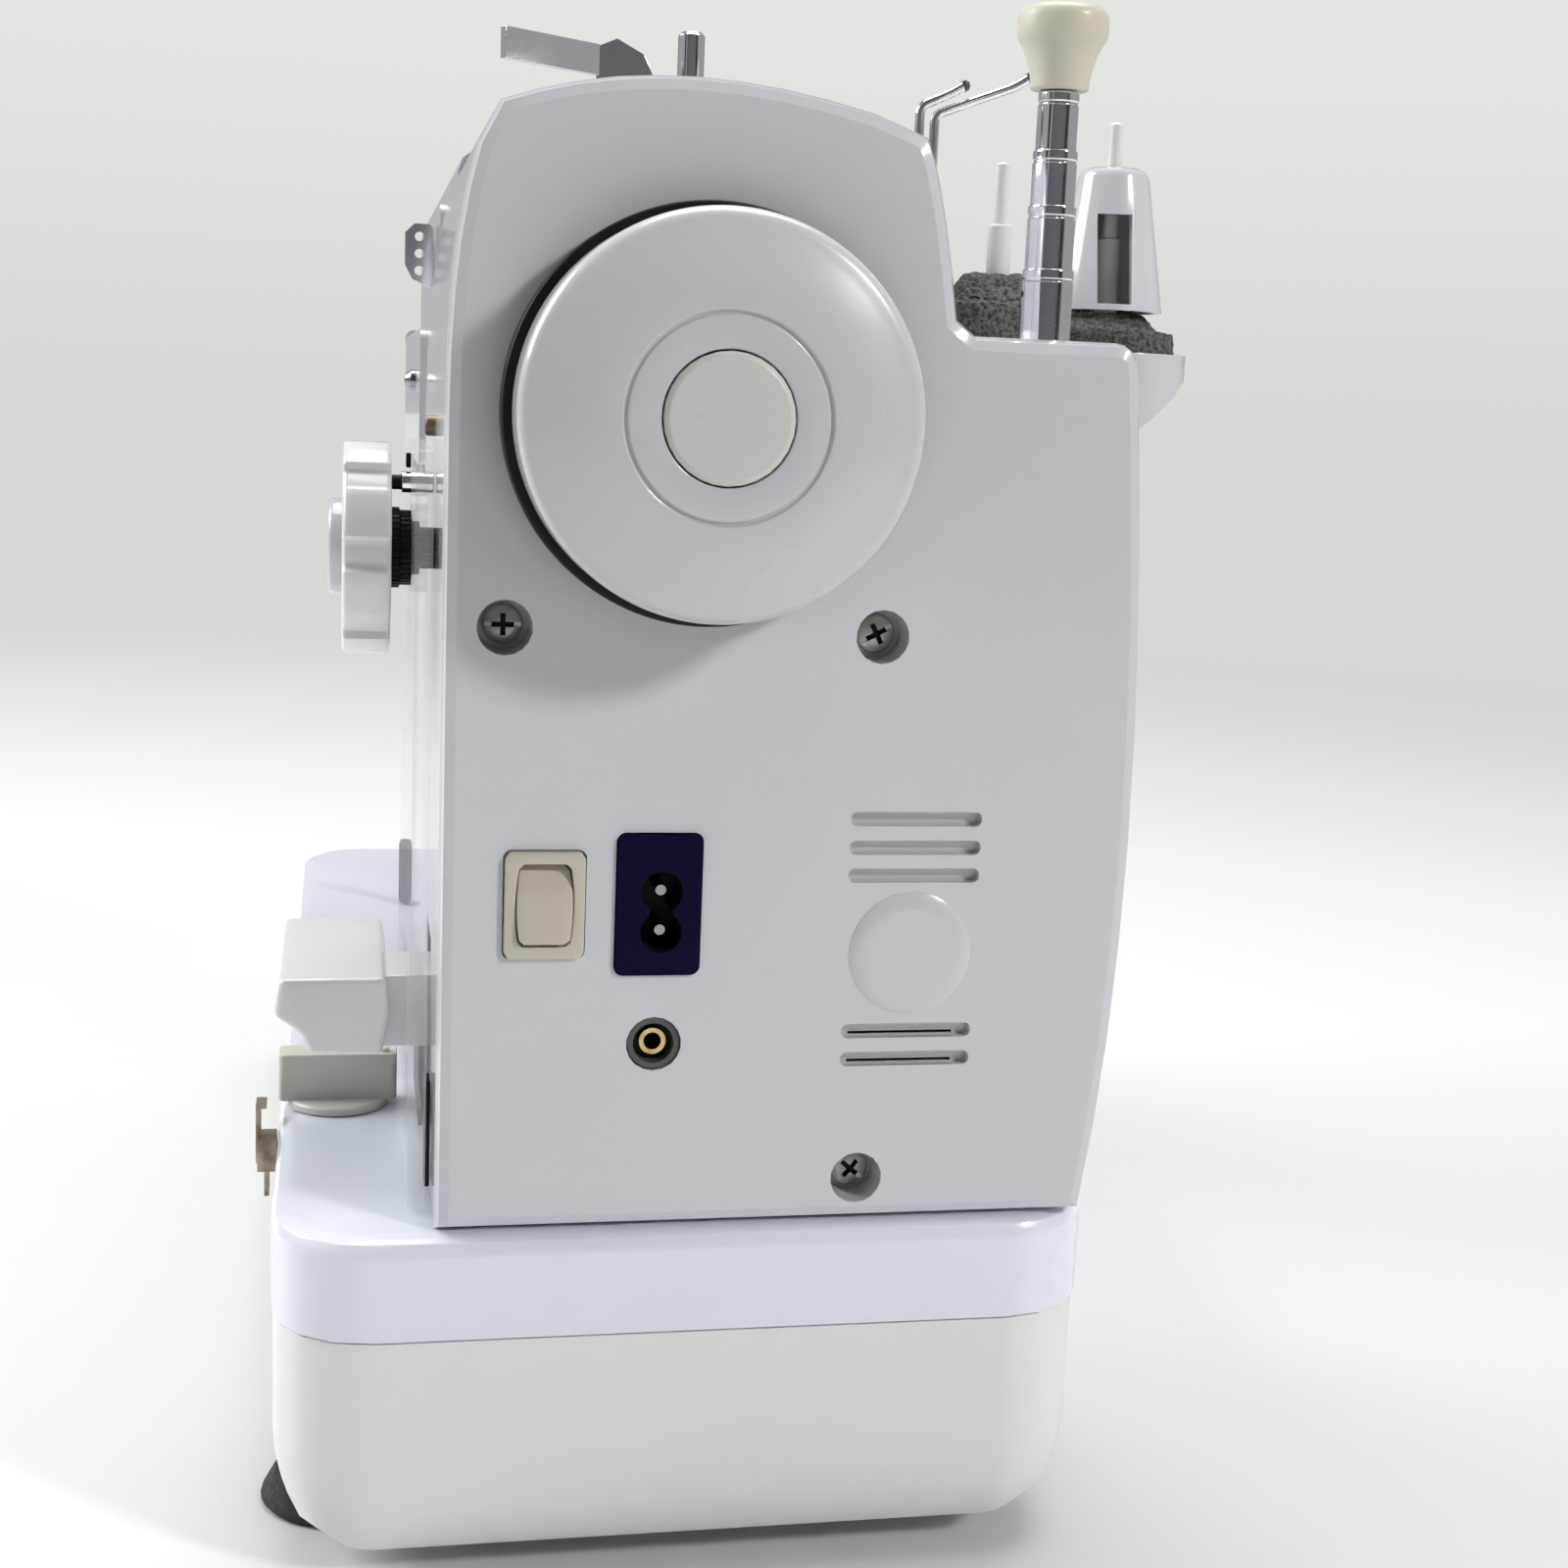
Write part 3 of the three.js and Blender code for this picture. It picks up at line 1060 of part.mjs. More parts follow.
addPiece("lower_base", lowerBase(), "matteWhite");
footPlaces().forEach((centre, i) => addPiece(`rubber_foot_${i + 1}`, rubberFoot(centre), "black"));
addPiece("bed_casting", bedCasting(), "glossWhite");
addPiece("needle_plate", needlePlate(), "steel");
addPiece("slide_cover", slideCover(), "steel");
addPiece("bed_bracket", bedBracket(), "brass");
addPiece("column_housing", columnHousing(), "glossWhite");
addPiece("arm_housing", armHousing(), "glossWhite");
addPiece("head_housing", headHousing(), "glossWhite");
addPiece("face_cover", faceCover(), "glossWhite");
addPiece("side_cover", sideCover(), "glossWhite");
screwPlaces.forEach((centre, i) => addPiece(`side_screw_${i + 1}`, coverScrew(centre), "steel"));
addPiece("switch_frame", switchFrame(), "beige");
addPiece("rocker_button", rockerButton(), "beige");
addPiece("power_inlet", powerInlet(), "navy");
addPiece("pedal_jack", pedalJack(), "black");

addPiece("main_frame", innerCasting(), "cast");
addPiece("main_shaft", mainShaft(), "steel");
addPiece("handwheel", handwheel(), "glossWhite");
addPiece("handwheel_cap", handwheelCap(), "greyGreen");
addPiece("handwheel_back", handwheelBack(), "black");
addPiece("motor", motorCan(), "cast");
addPiece("motor_rotor", motorRotor(), "steel");
addPiece("motor_belt", motorBelt(), "black");
addPiece("timing_belt", timingBelt(), "black");
addPiece("lower_shaft", lowerShaft(), "steel");
addPiece("rotary_hook", rotaryHook(), "steel");
addPiece("feed_dog", feedDog(), "steel");

addPiece("needle_bar", needleBarPiece(), "chrome");
addPiece("presser_foot", presserPiece(), "chrome");
addPiece("presser_lifter", presserLifter(), "greyGreen");
addPiece("take_up_lever", takeUpLever(), "chrome");
addPiece("tension_dial", tensionDial(), "glossWhite");

addPiece("stitch_dial", stitchDial(), "glossWhite");
addPiece("dial_hub", dialHub(), "black");
addPiece("dial_stop", dialStop(), "chrome");
addPiece("clear_pane", clearPane(), "clear");
addPiece("reverse_lever", reverseLever(), "glossWhite");
addPiece("feed_knob", feedKnob(), "greyGreen");
addPiece("thread_guide", threadGuide(), "chrome");

addPiece("winder_shaft", winderShaft(), "chrome");
addPiece("winder_lever", winderLeverPiece(), "chrome");
addPiece("thread_wire_short", threadWire(wire.shortY, wire.shortBends), "chrome");
addPiece("thread_wire_long", threadWire(wire.longY, wire.longBends), "chrome");
["pole_base", "pole_lower", "pole_middle", "pole_upper"].forEach((name, i) => {
  addPiece(name, poleSection(i), "chrome");
});
addPiece("pole_cap", poleCap(), "cream");
addPiece("spool_tray", spoolTray(), "glossWhite");
addPiece("spool_pin_near", spoolPin(pinA, column.ledgeZ + GAP), "cream");
addPiece("spool_pin_rear", spoolPin(pinB, column.ledgeZ - 1.2 + GAP), "cream");
addPiece("foam_mat_near", foamMat(pinA, column.ledgeZ + GAP), "foam");
addPiece("foam_mat_rear", foamMat(pinB, column.ledgeZ - 1.2 + GAP), "foam");
addPiece("cone_holder", coneHolder(), "glossWhite");

// The origin is the bottom centre of the whole machine's bounding box.
const bounds = new THREE.Box3().setFromObject(group);
group.position.set(-(bounds.min.x + bounds.max.x) / 2, -(bounds.min.y + bounds.max.y) / 2, -bounds.min.z);
group.updateMatrixWorld(true);

export default group;
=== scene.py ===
"""Looks of a flat-bed straight-stitch sewing machine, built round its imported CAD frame."""
import json
import math

import bmesh
import bpy
from mathutils import Matrix, Vector, noise

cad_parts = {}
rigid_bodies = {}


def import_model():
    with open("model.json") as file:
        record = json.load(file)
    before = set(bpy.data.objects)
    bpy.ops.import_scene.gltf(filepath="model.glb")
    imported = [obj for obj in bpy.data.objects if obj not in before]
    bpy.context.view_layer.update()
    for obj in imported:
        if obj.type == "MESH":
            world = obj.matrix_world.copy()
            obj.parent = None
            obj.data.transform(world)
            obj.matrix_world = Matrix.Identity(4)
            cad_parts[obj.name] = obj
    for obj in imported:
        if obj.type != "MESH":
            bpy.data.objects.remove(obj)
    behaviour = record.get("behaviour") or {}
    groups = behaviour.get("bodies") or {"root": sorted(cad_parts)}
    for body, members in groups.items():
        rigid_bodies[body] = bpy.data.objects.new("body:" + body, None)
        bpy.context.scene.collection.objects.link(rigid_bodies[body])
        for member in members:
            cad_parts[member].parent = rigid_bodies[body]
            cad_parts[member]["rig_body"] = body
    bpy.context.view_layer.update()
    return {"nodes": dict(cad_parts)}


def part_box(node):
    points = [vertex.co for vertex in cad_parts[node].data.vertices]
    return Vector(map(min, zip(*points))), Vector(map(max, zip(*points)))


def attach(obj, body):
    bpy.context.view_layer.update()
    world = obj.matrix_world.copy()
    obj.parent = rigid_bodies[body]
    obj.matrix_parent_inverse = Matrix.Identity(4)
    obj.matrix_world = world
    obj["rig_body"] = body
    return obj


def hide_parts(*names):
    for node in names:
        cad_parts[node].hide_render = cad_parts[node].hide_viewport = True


MM = 0.001

# ------------------ camera and stage

CAMERA_PLACE = (443, -73.05, 259.7)  # mm, in the machine's own frame
CAMERA_YAW = 11.56  # degrees that the view turns towards +Y from -X
CAMERA_PITCH = 10.12  # degrees downwards
CAMERA_ROLL = 2.43
CAMERA_LENS = 50.175
SENSOR = 36

FLOOR_RADIUS = 16  # metres
FLOOR_SIDES = 64
FLOOR_FADE = (0.45, 2.0)  # metres from the middle over which the floor turns into the background
BACKGROUND = (0.775, 0.785, 0.77)
HORIZON = (0.665, 0.69, 0.665)  # the background's colour down where it meets the floor
BACKDROP_RISE = (-0.2, 3.1)  # metres above the table, over which the backdrop goes from one to the other
BACKDROP_RADIUS = 15.5
BACKDROP_HEIGHT = 16

# ------------------ sizes of the made pieces, mm

WHEEL_EDGE = 3.2  # rounding of the handwheel's front edge
WHEEL_BACK_EDGE = 1.2
WHEEL_DOME = 2.6  # how far the face rises from its shoulder to the ring
WHEEL_RING = 20.0  # radius of the groove in the face
WHEEL_RING_WIDTH = 0.9
WHEEL_RING_DEPTH = 0.6
WHEEL_SEAT = 13.1  # radius of the recess that the middle cap sits in
WHEEL_SEAT_DEPTH = 5.8
TURN_STEPS = 128
COVER_ROLL = 2.6  # rounding of the side cover's outer rim

DIAL_LOBES = 8
DIAL_SCALLOP = 1.9
FOAM_LUMP = 3.2  # height of the foam's slow waves
FOAM_PORE = 0.55  # and of its pores
FOAM_WAVE_RATE = 52  # noise cells per metre in the slow waves
FOAM_PORE_RATES = (620, 1500)  # and in the pores and their finer half
FOAM_ROWS = 30
FOAM_STEPS = 220
WIRE_RADIUS = 1.1
# Height of each thread wire's first bend above its foot, then (y, z) of its shoulder from the low corner.
WIRES = {"thread_wire_short": (51.6, (8.2, 54.8)), "thread_wire_long": (49.9, (19.7, 57.2))}

BACKING_FROM = 1.5  # the handwheel's black backing stands this far off the end cover
WHEEL_Y = -1.5  # the handwheel's axis, off the needle's line
LEVER_PAD_DEPTH = 25.2
LEVER_HEIGHT = 17.6  # of the reverse lever's pad
LEVER_PARTING = 8.6  # down from its top
LEVER_STEM = (5, 21)  # the stem's distance from the pad's near end, and its width
ROCKER_TAPER = 0.62  # height of the rocker's hidden back beside its front, so that it can swing
ROCKER_BULGE = 0.75  # how far each upright side of the rocker bows out
ROCKER_CREASE = 0.17  # height of the crease over the rocker's middle, as a share of its height
ROCKER_SLOPES = (0.5, 0.12)  # how steeply the rocker leans back above the crease, and forward below it
ROCKER_COLUMNS = 6
DIAL_BUTTON = 2.9
DIAL_BUTTON_RADIUS = 10.4
FOAM_BORE = 3.2
WHEEL_BACK_BORE = 7
SIDE_SCREW_TURNS = (0, 28, -40)  # degrees that each side screw's cross is turned

# ------------------ places in the machine's own frame, mm
# X runs towards the handwheel from the end cover's face, Y backwards and Z up from the table.

PANE_SCREW = (-48, -54, 249.6)
PANE_SCREW_RADIUS = 2.3
PANE_SCREW_RISE = 2.2
SPACER = ((-99, -55.3, 84), (-22, -54.1, 108))  # dark strip behind the clear pane, from corner to corner
STEM_WAY = ((-46, -54.7, 98), (34, 6, 32))  # middle and size of the way through it for the reverse lever
BED_LEVER = ((-304, -54.4, 82), (-297, -50.2, 104))
STOP_PEG = ((-46.1, -60.3, 240.4), (-44.4, -59.2, 243.6))
POLE_LATCH = (-25, 283.2)  # x and z of the button low on the telescopic pole
JACK = (-8.3, 122.7)  # y and z of the pedal jack's middle
JACK_SHELL = 4.3  # radius outside which the jack is its dull shell
JACK_LINING = (2.0, 3.1)  # radii between which it is brass
INLET_Y = -7.6
INLET_WELL = ((141, 163), 5.2, 0.85)  # z range, half width and highest x of the inlet's dark well
INLET_PINS = (147.3, 155.9)  # z of the two pins
INLET_PIN_RADIUS = 1.35
ARM_STUD = (-160, 259)  # x and z of the domed stud on the arm's front
ARM_STUD_RADIUS = 3.2
ARM_FRONT = -54.9
STOP_TIP = (-45, 237.2)  # x and z of the dial stop's dark tip
STOP_TIP_RADIUS = 1.8
STOP_TIP_Y = -61.1
KNOB_DISC_TOP = 84.2  # the feed knob's round base ends here


# ------------------ camera, lights, floor


def place_camera():
    yaw, pitch, roll = (math.radians(a) for a in (CAMERA_YAW, CAMERA_PITCH, CAMERA_ROLL))
    look = Vector((-math.cos(yaw) * math.cos(pitch), math.sin(yaw) * math.cos(pitch), -math.sin(pitch)))
    right = look.cross(Vector((0, 0, 1))).normalized()
    up = right.cross(look)
    side = right * math.cos(roll) + up * math.sin(roll)
    top = up * math.cos(roll) - right * math.sin(roll)
    data = bpy.data.cameras.new("camera")
    data.lens = CAMERA_LENS
    data.sensor_width = SENSOR
    data.clip_start = 0.02
    data.clip_end = 40
    camera = bpy.data.objects.new("camera", data)
    bpy.context.scene.collection.objects.link(camera)
    turn = Matrix((side, top, -look)).transposed().to_4x4()
    camera.matrix_world = Matrix.Translation(at(*CAMERA_PLACE)) @ turn
    bpy.context.scene.camera = camera


def area_light(name, place, target, size, power, colour=(1, 1, 1)):
    data = bpy.data.lights.new(name, "AREA")
    data.shape = "RECTANGLE"
    data.size, data.size_y = size
    data.energy = power
    data.color = colour
    light = bpy.data.objects.new(name, data)
    light.location = place
    light.rotation_euler = (Vector(target) - Vector(place)).to_track_quat("-Z", "Y").to_euler()
    bpy.context.scene.collection.objects.link(light)


def light_the_studio():
    world = bpy.data.worlds.new("studio")
    bpy.context.scene.world = world
    world.use_nodes = True
    sky = world.node_tree.nodes["Background"]
    sky.inputs["Color"].default_value = (0.96, 0.98, 1, 1)
    sky.inputs["Strength"].default_value = 0.34
    middle = (0.05, 0, 0.2)
    area_light("window", (-0.7, -2.1, 1.5), middle, (1.5, 1.2), 62, (0.97, 1, 0.985))
    area_light("lamp", (1.55, 1.45, 1.35), (0.19, 0, 0.25), (0.3, 0.3), 28, (1, 0.99, 0.97))
    area_light("ceiling", (-0.3, 0.2, 2.2), middle, (1.6, 1.4), 38)
    bpy.context.scene.view_settings.view_transform = "Standard"


def upright_card(name, place, size, turn, material):
    """A plain upright sheet on the stage, facing along X before its turn about Z."""
    mesh = bpy.data.meshes.new(name)
    w, h = size[0] / 2, size[1] / 2
    mesh.from_pydata([(0, -w, -h), (0, w, -h), (0, w, h), (0, -w, h)], [], [(0, 1, 2, 3)])
    card = bpy.data.objects.new(name, mesh)
    card.location = place
    card.rotation_euler = (0, 0, math.radians(turn))
    bpy.context.scene.collection.objects.link(card)
    card.data.materials.append(material)
    return card


def set_the_stage():
    """A backdrop all round that only the camera sees, a dim room card, and flags for reflections only."""
    wall = [(BACKDROP_RADIUS, -1), (BACKDROP_RADIUS, BACKDROP_HEIGHT)]
    backdrop = mesh_object("backdrop", turned("z", (0, 0), wall, FLOOR_SIDES))
    backdrop.data.materials.append(fading_backdrop())
    backdrop.visible_diffuse = backdrop.visible_glossy = backdrop.visible_transmission = False
    backdrop.visible_shadow = False
    dim = plain_stage("dim_room", (0.10, 0.10, 0.11), 1)
    room = upright_card("room_behind_camera", (2.4, 0.2, 2.2), (5.2, 4.4), 0, dim)
    dark = plain_stage("dark_flag", (0.015, 0.015, 0.017), 1)
    left = upright_card("flag_left", (1.2, -1.9, 0.5), (0.5, 1.6), -58, dark)
    right = upright_card("flag_right", (1.5, 1.1, 0.45), (0.35, 1.0), 36, dark)
    for card in (room, left, right):
        card.visible_camera = False
    for card in (left, right):
        card.visible_diffuse = card.visible_shadow = False


def fading_backdrop():
    """Light grey, a little darker down at the horizon, where it meets the floor."""
    material = plain_stage("backdrop", (0, 0, 0), 1)
    nodes, links = material.node_tree.nodes, material.node_tree.links
    shader = nodes["Principled BSDF"]
    shader.inputs["Specular IOR Level"].default_value = 0
    shader.inputs["Emission Strength"].default_value = 1
    place = nodes.new("ShaderNodeSeparateXYZ")
    links.new(nodes.new("ShaderNodeTexCoord").outputs["Object"], place.inputs[0])
    rise = soft_step(material, place.outputs["Z"], BACKDROP_RISE)
    mix = nodes.new("ShaderNodeMix")
    mix.data_type = "RGBA"
    mix.inputs[6].default_value = (*HORIZON, 1)
    mix.inputs[7].default_value = (*BACKGROUND, 1)
    links.new(rise, mix.inputs[0])
    links.new(mix.outputs[2], shader.inputs["Emission Color"])
    return material


def soft_step(material, value, limits):
    """A value that goes smoothly from 0 to 1 between two limits."""
    step = material.node_tree.nodes.new("ShaderNodeMapRange")
    step.interpolation_type = "SMOOTHSTEP"
    step.inputs["From Min"].default_value, step.inputs["From Max"].default_value = limits
    material.node_tree.links.new(value, step.inputs["Value"])
    return step.outputs["Result"]


def plain_stage(name, colour, roughness):
    material = bpy.data.materials.new(name)
    material.use_nodes = True
    shader = material.node_tree.nodes["Principled BSDF"]
    shader.inputs["Base Color"].default_value = (*colour, 1)
    shader.inputs["Roughness"].default_value = roughness
    return material


def fading_floor():
    """A pale floor that turns into the background far from the object."""
    material = plain_stage("floor", (0.665, 0.665, 0.67), 0.6)
    nodes, links = material.node_tree.nodes, material.node_tree.links
    glow = nodes.new("ShaderNodeEmission")
    glow.inputs["Color"].default_value = (*HORIZON, 1)
    length = nodes.new("ShaderNodeVectorMath")
    length.operation = "LENGTH"
    links.new(nodes.new("ShaderNodeTexCoord").outputs["Object"], length.inputs[0])
    mix = nodes.new("ShaderNodeMixShader")
    links.new(soft_step(material, length.outputs["Value"], FLOOR_FADE), mix.inputs["Fac"])
    links.new(nodes["Principled BSDF"].outputs["BSDF"], mix.inputs[1])
    links.new(glow.outputs["Emission"], mix.inputs[2])
    links.new(mix.outputs["Shader"], nodes["Material Output"].inputs["Surface"])
    return material


def lay_floor():
    disc = bmesh.new()
    bmesh.ops.create_circle(disc, cap_ends=True, radius=FLOOR_RADIUS, segments=FLOOR_SIDES)
    floor = mesh_object("floor", disc)
    floor.data.materials.append(fading_floor())


# ------------------ meshes


def mesh_object(name, bm):
    mesh = bpy.data.meshes.new(name)
    bmesh.ops.recalc_face_normals(bm, faces=bm.faces)
    bm.to_mesh(mesh)
    bm.free()
    piece = bpy.data.objects.new(name, mesh)
    bpy.context.scene.collection.objects.link(piece)
    return piece


AXES = {
    "x": lambda u, v, w: Vector((w, u, v)),
    "y": lambda u, v, w: Vector((u, w, v)),
    "z": lambda u, v, w: Vector((u, v, w)),
}


def turned(axis, centre, profile, steps=TURN_STEPS, reach=None):
    """A turned solid: (radius, place along the axis) points in metres round a centre. A reach
    function gives a factor on the radius at an angle."""
    bm = bmesh.new()
    rings = []
    for radius, along in profile:
        if radius < 1e-7:
            rings.append([bm.verts.new(AXES[axis](centre[0], centre[1], along))])
            continue
        ring = []
        for i in range(steps):
            angle = 2 * math.pi * i / steps
            r = radius * (reach(angle, radius) if reach else 1)
            u, v = centre[0] + r * math.cos(angle), centre[1] + r * math.sin(angle)
            ring.append(bm.verts.new(AXES[axis](u, v, along)))
        rings.append(ring)
    for a, b in zip(rings, rings[1:]):
        join_rings(bm, a, b, steps)
    return bm


def join_rings(bm, a, b, steps):
    for i in range(steps):
        j = (i + 1) % steps
        if len(a) == 1 and len(b) == 1:
            return
        if len(a) == 1:
            bm.faces.new((a[0], b[j], b[i]))
        elif len(b) == 1:
            bm.faces.new((a[i], a[j], b[0]))
        else:
            bm.faces.new((a[i], a[j], b[j], b[i]))


def rounded(start, corner, end, steps=6):
    """Points of a soft corner between two profile points."""
    points = []
    for i in range(steps + 1):
        t = i / steps
        blend = [(1 - t) ** 2 * a + 2 * t * (1 - t) * b + t ** 2 * c for a, b, c in zip(start, corner, end)]
        points.append(tuple(blend))
    return points


def millimetres(points):
    return [(a * MM, b * MM) for a, b in points]


def smooth_by_angle(piece, degrees=30):
    piece.data.shade_smooth()
    add_creases(piece, degrees)


def add_creases(piece, degrees):
    split = piece.modifiers.new("creases", "EDGE_SPLIT")
    split.split_angle = math.radians(degrees)


def soften(node, width, degrees=28, segments=2, rim=0):
    """Gives a CAD node slightly rounded edges and smooth shading. Its own mesh stays as it is."""
    normals = node.data.attributes.get("custom_normal")
    if normals:
        node.data.attributes.remove(normals)
    node.data.shade_smooth()
    weld = node.modifiers.new("weld", "WELD")
    weld.merge_threshold = 0.00002
    if rim:
        roll_rim(node, rim)
    flatten = node.modifiers.new("flat_faces", "DECIMATE")
    flatten.decimate_type = "DISSOLVE"
    flatten.angle_limit = math.radians(0.3)
    flatten.delimit = {"MATERIAL"}
    edge_bevel(node, width, segments, degrees)
    weigh_normals(node, degrees + 8)


def edge_bevel(piece, width, segments=3, degrees=40):
    bevel = piece.modifiers.new("rounding", "BEVEL")
    bevel.width = width * MM
    bevel.segments = segments
    bevel.limit_method = "ANGLE"
    bevel.angle_limit = math.radians(degrees)


def outer_rim(mesh):
    """The edges round the outside of a cover's flat +X face, leaving out the rims of its holes."""

    def place(index):
        return tuple(round(c, 5) for c in mesh.vertices[index].co)

    def ends(pair):
        return frozenset(place(index) for index in pair)

    uses = {}
    for face in mesh.polygons:
        if all(abs(mesh.vertices[index].co.x - origin.x) < 1e-5 for index in face.vertices):
            for pair in face.edge_keys:
                uses[ends(pair)] = uses.get(ends(pair), 0) + 1
    rims = {pair for pair, count in uses.items() if count == 1}
    nearby = {}
    for one, other in rims:
        nearby.setdefault(one, []).append(other)
        nearby.setdefault(other, []).append(one)
    loop, waiting = set(), [max(nearby, key=lambda point: point[2])]
    while waiting:
        point = waiting.pop()
        if point not in loop:
            loop.add(point)
            waiting += nearby[point]
    edges = [edge for edge in mesh.edges if ends(edge.vertices) in rims]
    return [edge.index for edge in edges if place(edge.vertices[0]) in loop]


def roll_rim(node, width):
    """Rounds a cover's outer rim over a wider radius than its other edges."""
    weights = node.data.attributes.new("bevel_weight_edge", "FLOAT", "EDGE")
    for index in outer_rim(node.data):
        weights.data[index].value = 1
    roll = node.modifiers.new("rolled_rim", "BEVEL")
    roll.width = width * MM
    roll.segments = 6
    roll.limit_method = "WEIGHT"


def weigh_normals(piece, degrees):
    """Flat faces keep flat shading up to their rounded edges. Sharper than the angle is a crease."""
    add_creases(piece, degrees)
    weigh = piece.modifiers.new("weighted", "WEIGHTED_NORMAL")
    weigh.mode = "FACE_AREA"
    weigh.weight = 100
    weigh.thresh = 0.001


# ------------------ material nodes


class Finish:
    """A Principled material under construction, with detail laid out in millimetres."""

    def __init__(self, name, colour, roughness, metallic=0.0):
        self.material = bpy.data.materials.new(name)
        self.material.use_nodes = True
        self.nodes = self.material.node_tree.nodes
        self.links = self.material.node_tree.links
        self.shader = self.nodes["Principled BSDF"]
        self.place = self.nodes.new("ShaderNodeTexCoord").outputs["Object"]
        self.shader.inputs["Base Color"].default_value = (*colour, 1)
        self.shader.inputs["Roughness"].default_value = roughness
        self.shader.inputs["Metallic"].default_value = metallic

    def set(self, **values):
        for name, value in values.items():
            self.shader.inputs[name.replace("_", " ")].default_value = value

    def stretched(self, scale):
        mapping = self.nodes.new("ShaderNodeMapping")
        mapping.inputs["Scale"].default_value = scale
        self.links.new(self.place, mapping.inputs["Vector"])
        return mapping.outputs["Vector"]

    def noise(self, size, detail=3, stretch=None, roughness=0.5):
        """A noise texture whose features are about size millimetres across."""
        texture = self.nodes.new("ShaderNodeTexNoise")
        texture.inputs["Scale"].default_value = 1 / (size * MM)
        texture.inputs["Detail"].default_value = detail
        texture.inputs["Roughness"].default_value = roughness
        self.links.new(self.stretched(stretch) if stretch else self.place, texture.inputs["Vector"])
        return texture.outputs["Fac"]

    def cells(self, size):
        texture = self.nodes.new("ShaderNodeTexVoronoi")
        texture.inputs["Scale"].default_value = 1 / (size * MM)
        self.links.new(self.place, texture.inputs["Vector"])
        return texture.outputs["Distance"]

    def ramp(self, value, low, high, start=0.0, end=1.0):
        """Maps low..high of a value to start..end."""
        node = self.nodes.new("ShaderNodeMapRange")
        node.clamp = True
        for socket, number in zip(("From Min", "From Max", "To Min", "To Max"), (low, high, start, end)):
            node.inputs[socket].default_value = number
        self.links.new(value, node.inputs["Value"])
        return node.outputs["Result"]

    def blend(self, socket, kind, places, mask, value):
        """Mixes a second value in where the mask is 1, over whatever the shader's socket has so far."""
        first, second, out = places
        target = self.shader.inputs[socket]
        mix = self.nodes.new("ShaderNodeMix")
        mix.data_type = kind
        if target.is_linked:
            self.links.new(target.links[0].from_socket, mix.inputs[first])
        else:
            mix.inputs[first].default_value = target.default_value
        mix.inputs[second].default_value = value
        self.links.new(mask, mix.inputs[0])
        self.links.new(mix.outputs[out], target)

    def tint(self, mask, colour):
        self.blend("Base Color", "RGBA", (6, 7, 2), mask, (*colour, 1))

    def rough(self, mask, value):
        self.blend("Roughness", "FLOAT", (2, 3, 0), mask, value)

    def bump(self, height, depth):
        """Raises the surface by depth millimetres where height is 1."""
        target = self.shader.inputs["Normal"]
        node = self.nodes.new("ShaderNodeBump")
        node.inputs["Distance"].default_value = depth * MM
        node.inputs["Strength"].default_value = 1
        self.links.new(height, node.inputs["Height"])
        if target.is_linked:
            self.links.new(target.links[0].from_socket, node.inputs["Normal"])
        self.links.new(node.outputs["Normal"], target)


def gloss_plastic(name, colour, shade, roughness=0.22):
    """Moulded gloss plastic: a faint orange peel, uneven polish, hairline scratches and dust."""
    f = Finish(name, colour, roughness)
    f.set(Coat_Weight=0.55, Coat_Roughness=0.07, Specular_IOR_Level=0.5)
    f.tint(f.ramp(f.noise(70, 2), 0.35, 0.75, 0, 0.55), shade)
    f.tint(f.ramp(f.noise(1.1, 2), 0.69, 0.74, 0, 0.25), (0.55, 0.55, 0.53))
    f.rough(f.ramp(f.noise(38, 2), 0.2, 0.9), roughness + 0.02)
    f.rough(f.ramp(f.noise(0.25, 3, (1, 1, 0.012)), 0.68, 0.74, 0, 0.2), roughness + 0.15)
    f.bump(f.noise(7, 2), 0.012)
    f.bump(f.noise(0.5, 2), 0.003)
    return f.material


def gloss_paint(name, colour, shade):
    """Thick gloss enamel on cast metal: soft waves, small chips of dirt and rubbed, duller patches."""
    f = Finish(name, colour, 0.2)
    f.set(Coat_Weight=0.8, Coat_Roughness=0.05)
    f.tint(f.ramp(f.noise(60, 3), 0.35, 0.7, 0, 0.5), shade)
    f.tint(f.ramp(f.noise(2.2, 4, roughness=0.7), 0.68, 0.74, 0, 0.2), (0.5, 0.49, 0.46))
    f.rough(f.ramp(f.noise(45, 2), 0.3, 0.8), 0.26)
    f.bump(f.noise(14, 2), 0.04)
    f.bump(f.noise(0.8, 2), 0.004)
    return f.material


def grained_plastic(name, colour, shade, grain=0.55, depth=0.03, roughness=0.55, shine=0.4):
    """Matt moulded plastic with a fine spark-eroded grain."""
    f = Finish(name, colour, roughness)
    f.set(Specular_IOR_Level=shine)
    f.tint(f.ramp(f.noise(55, 3), 0.35, 0.7, 0, 0.6), shade)
    f.tint(f.ramp(f.noise(grain * 1.5, 2), 0.6, 0.75, 0, 0.12), tuple(c * 0.8 for c in colour))
    f.rough(f.ramp(f.noise(14, 4), 0.4, 0.7), roughness - 0.12)
    f.bump(f.noise(grain, 3), depth)
    f.bump(f.noise(20, 2), 0.04)
    return f.material


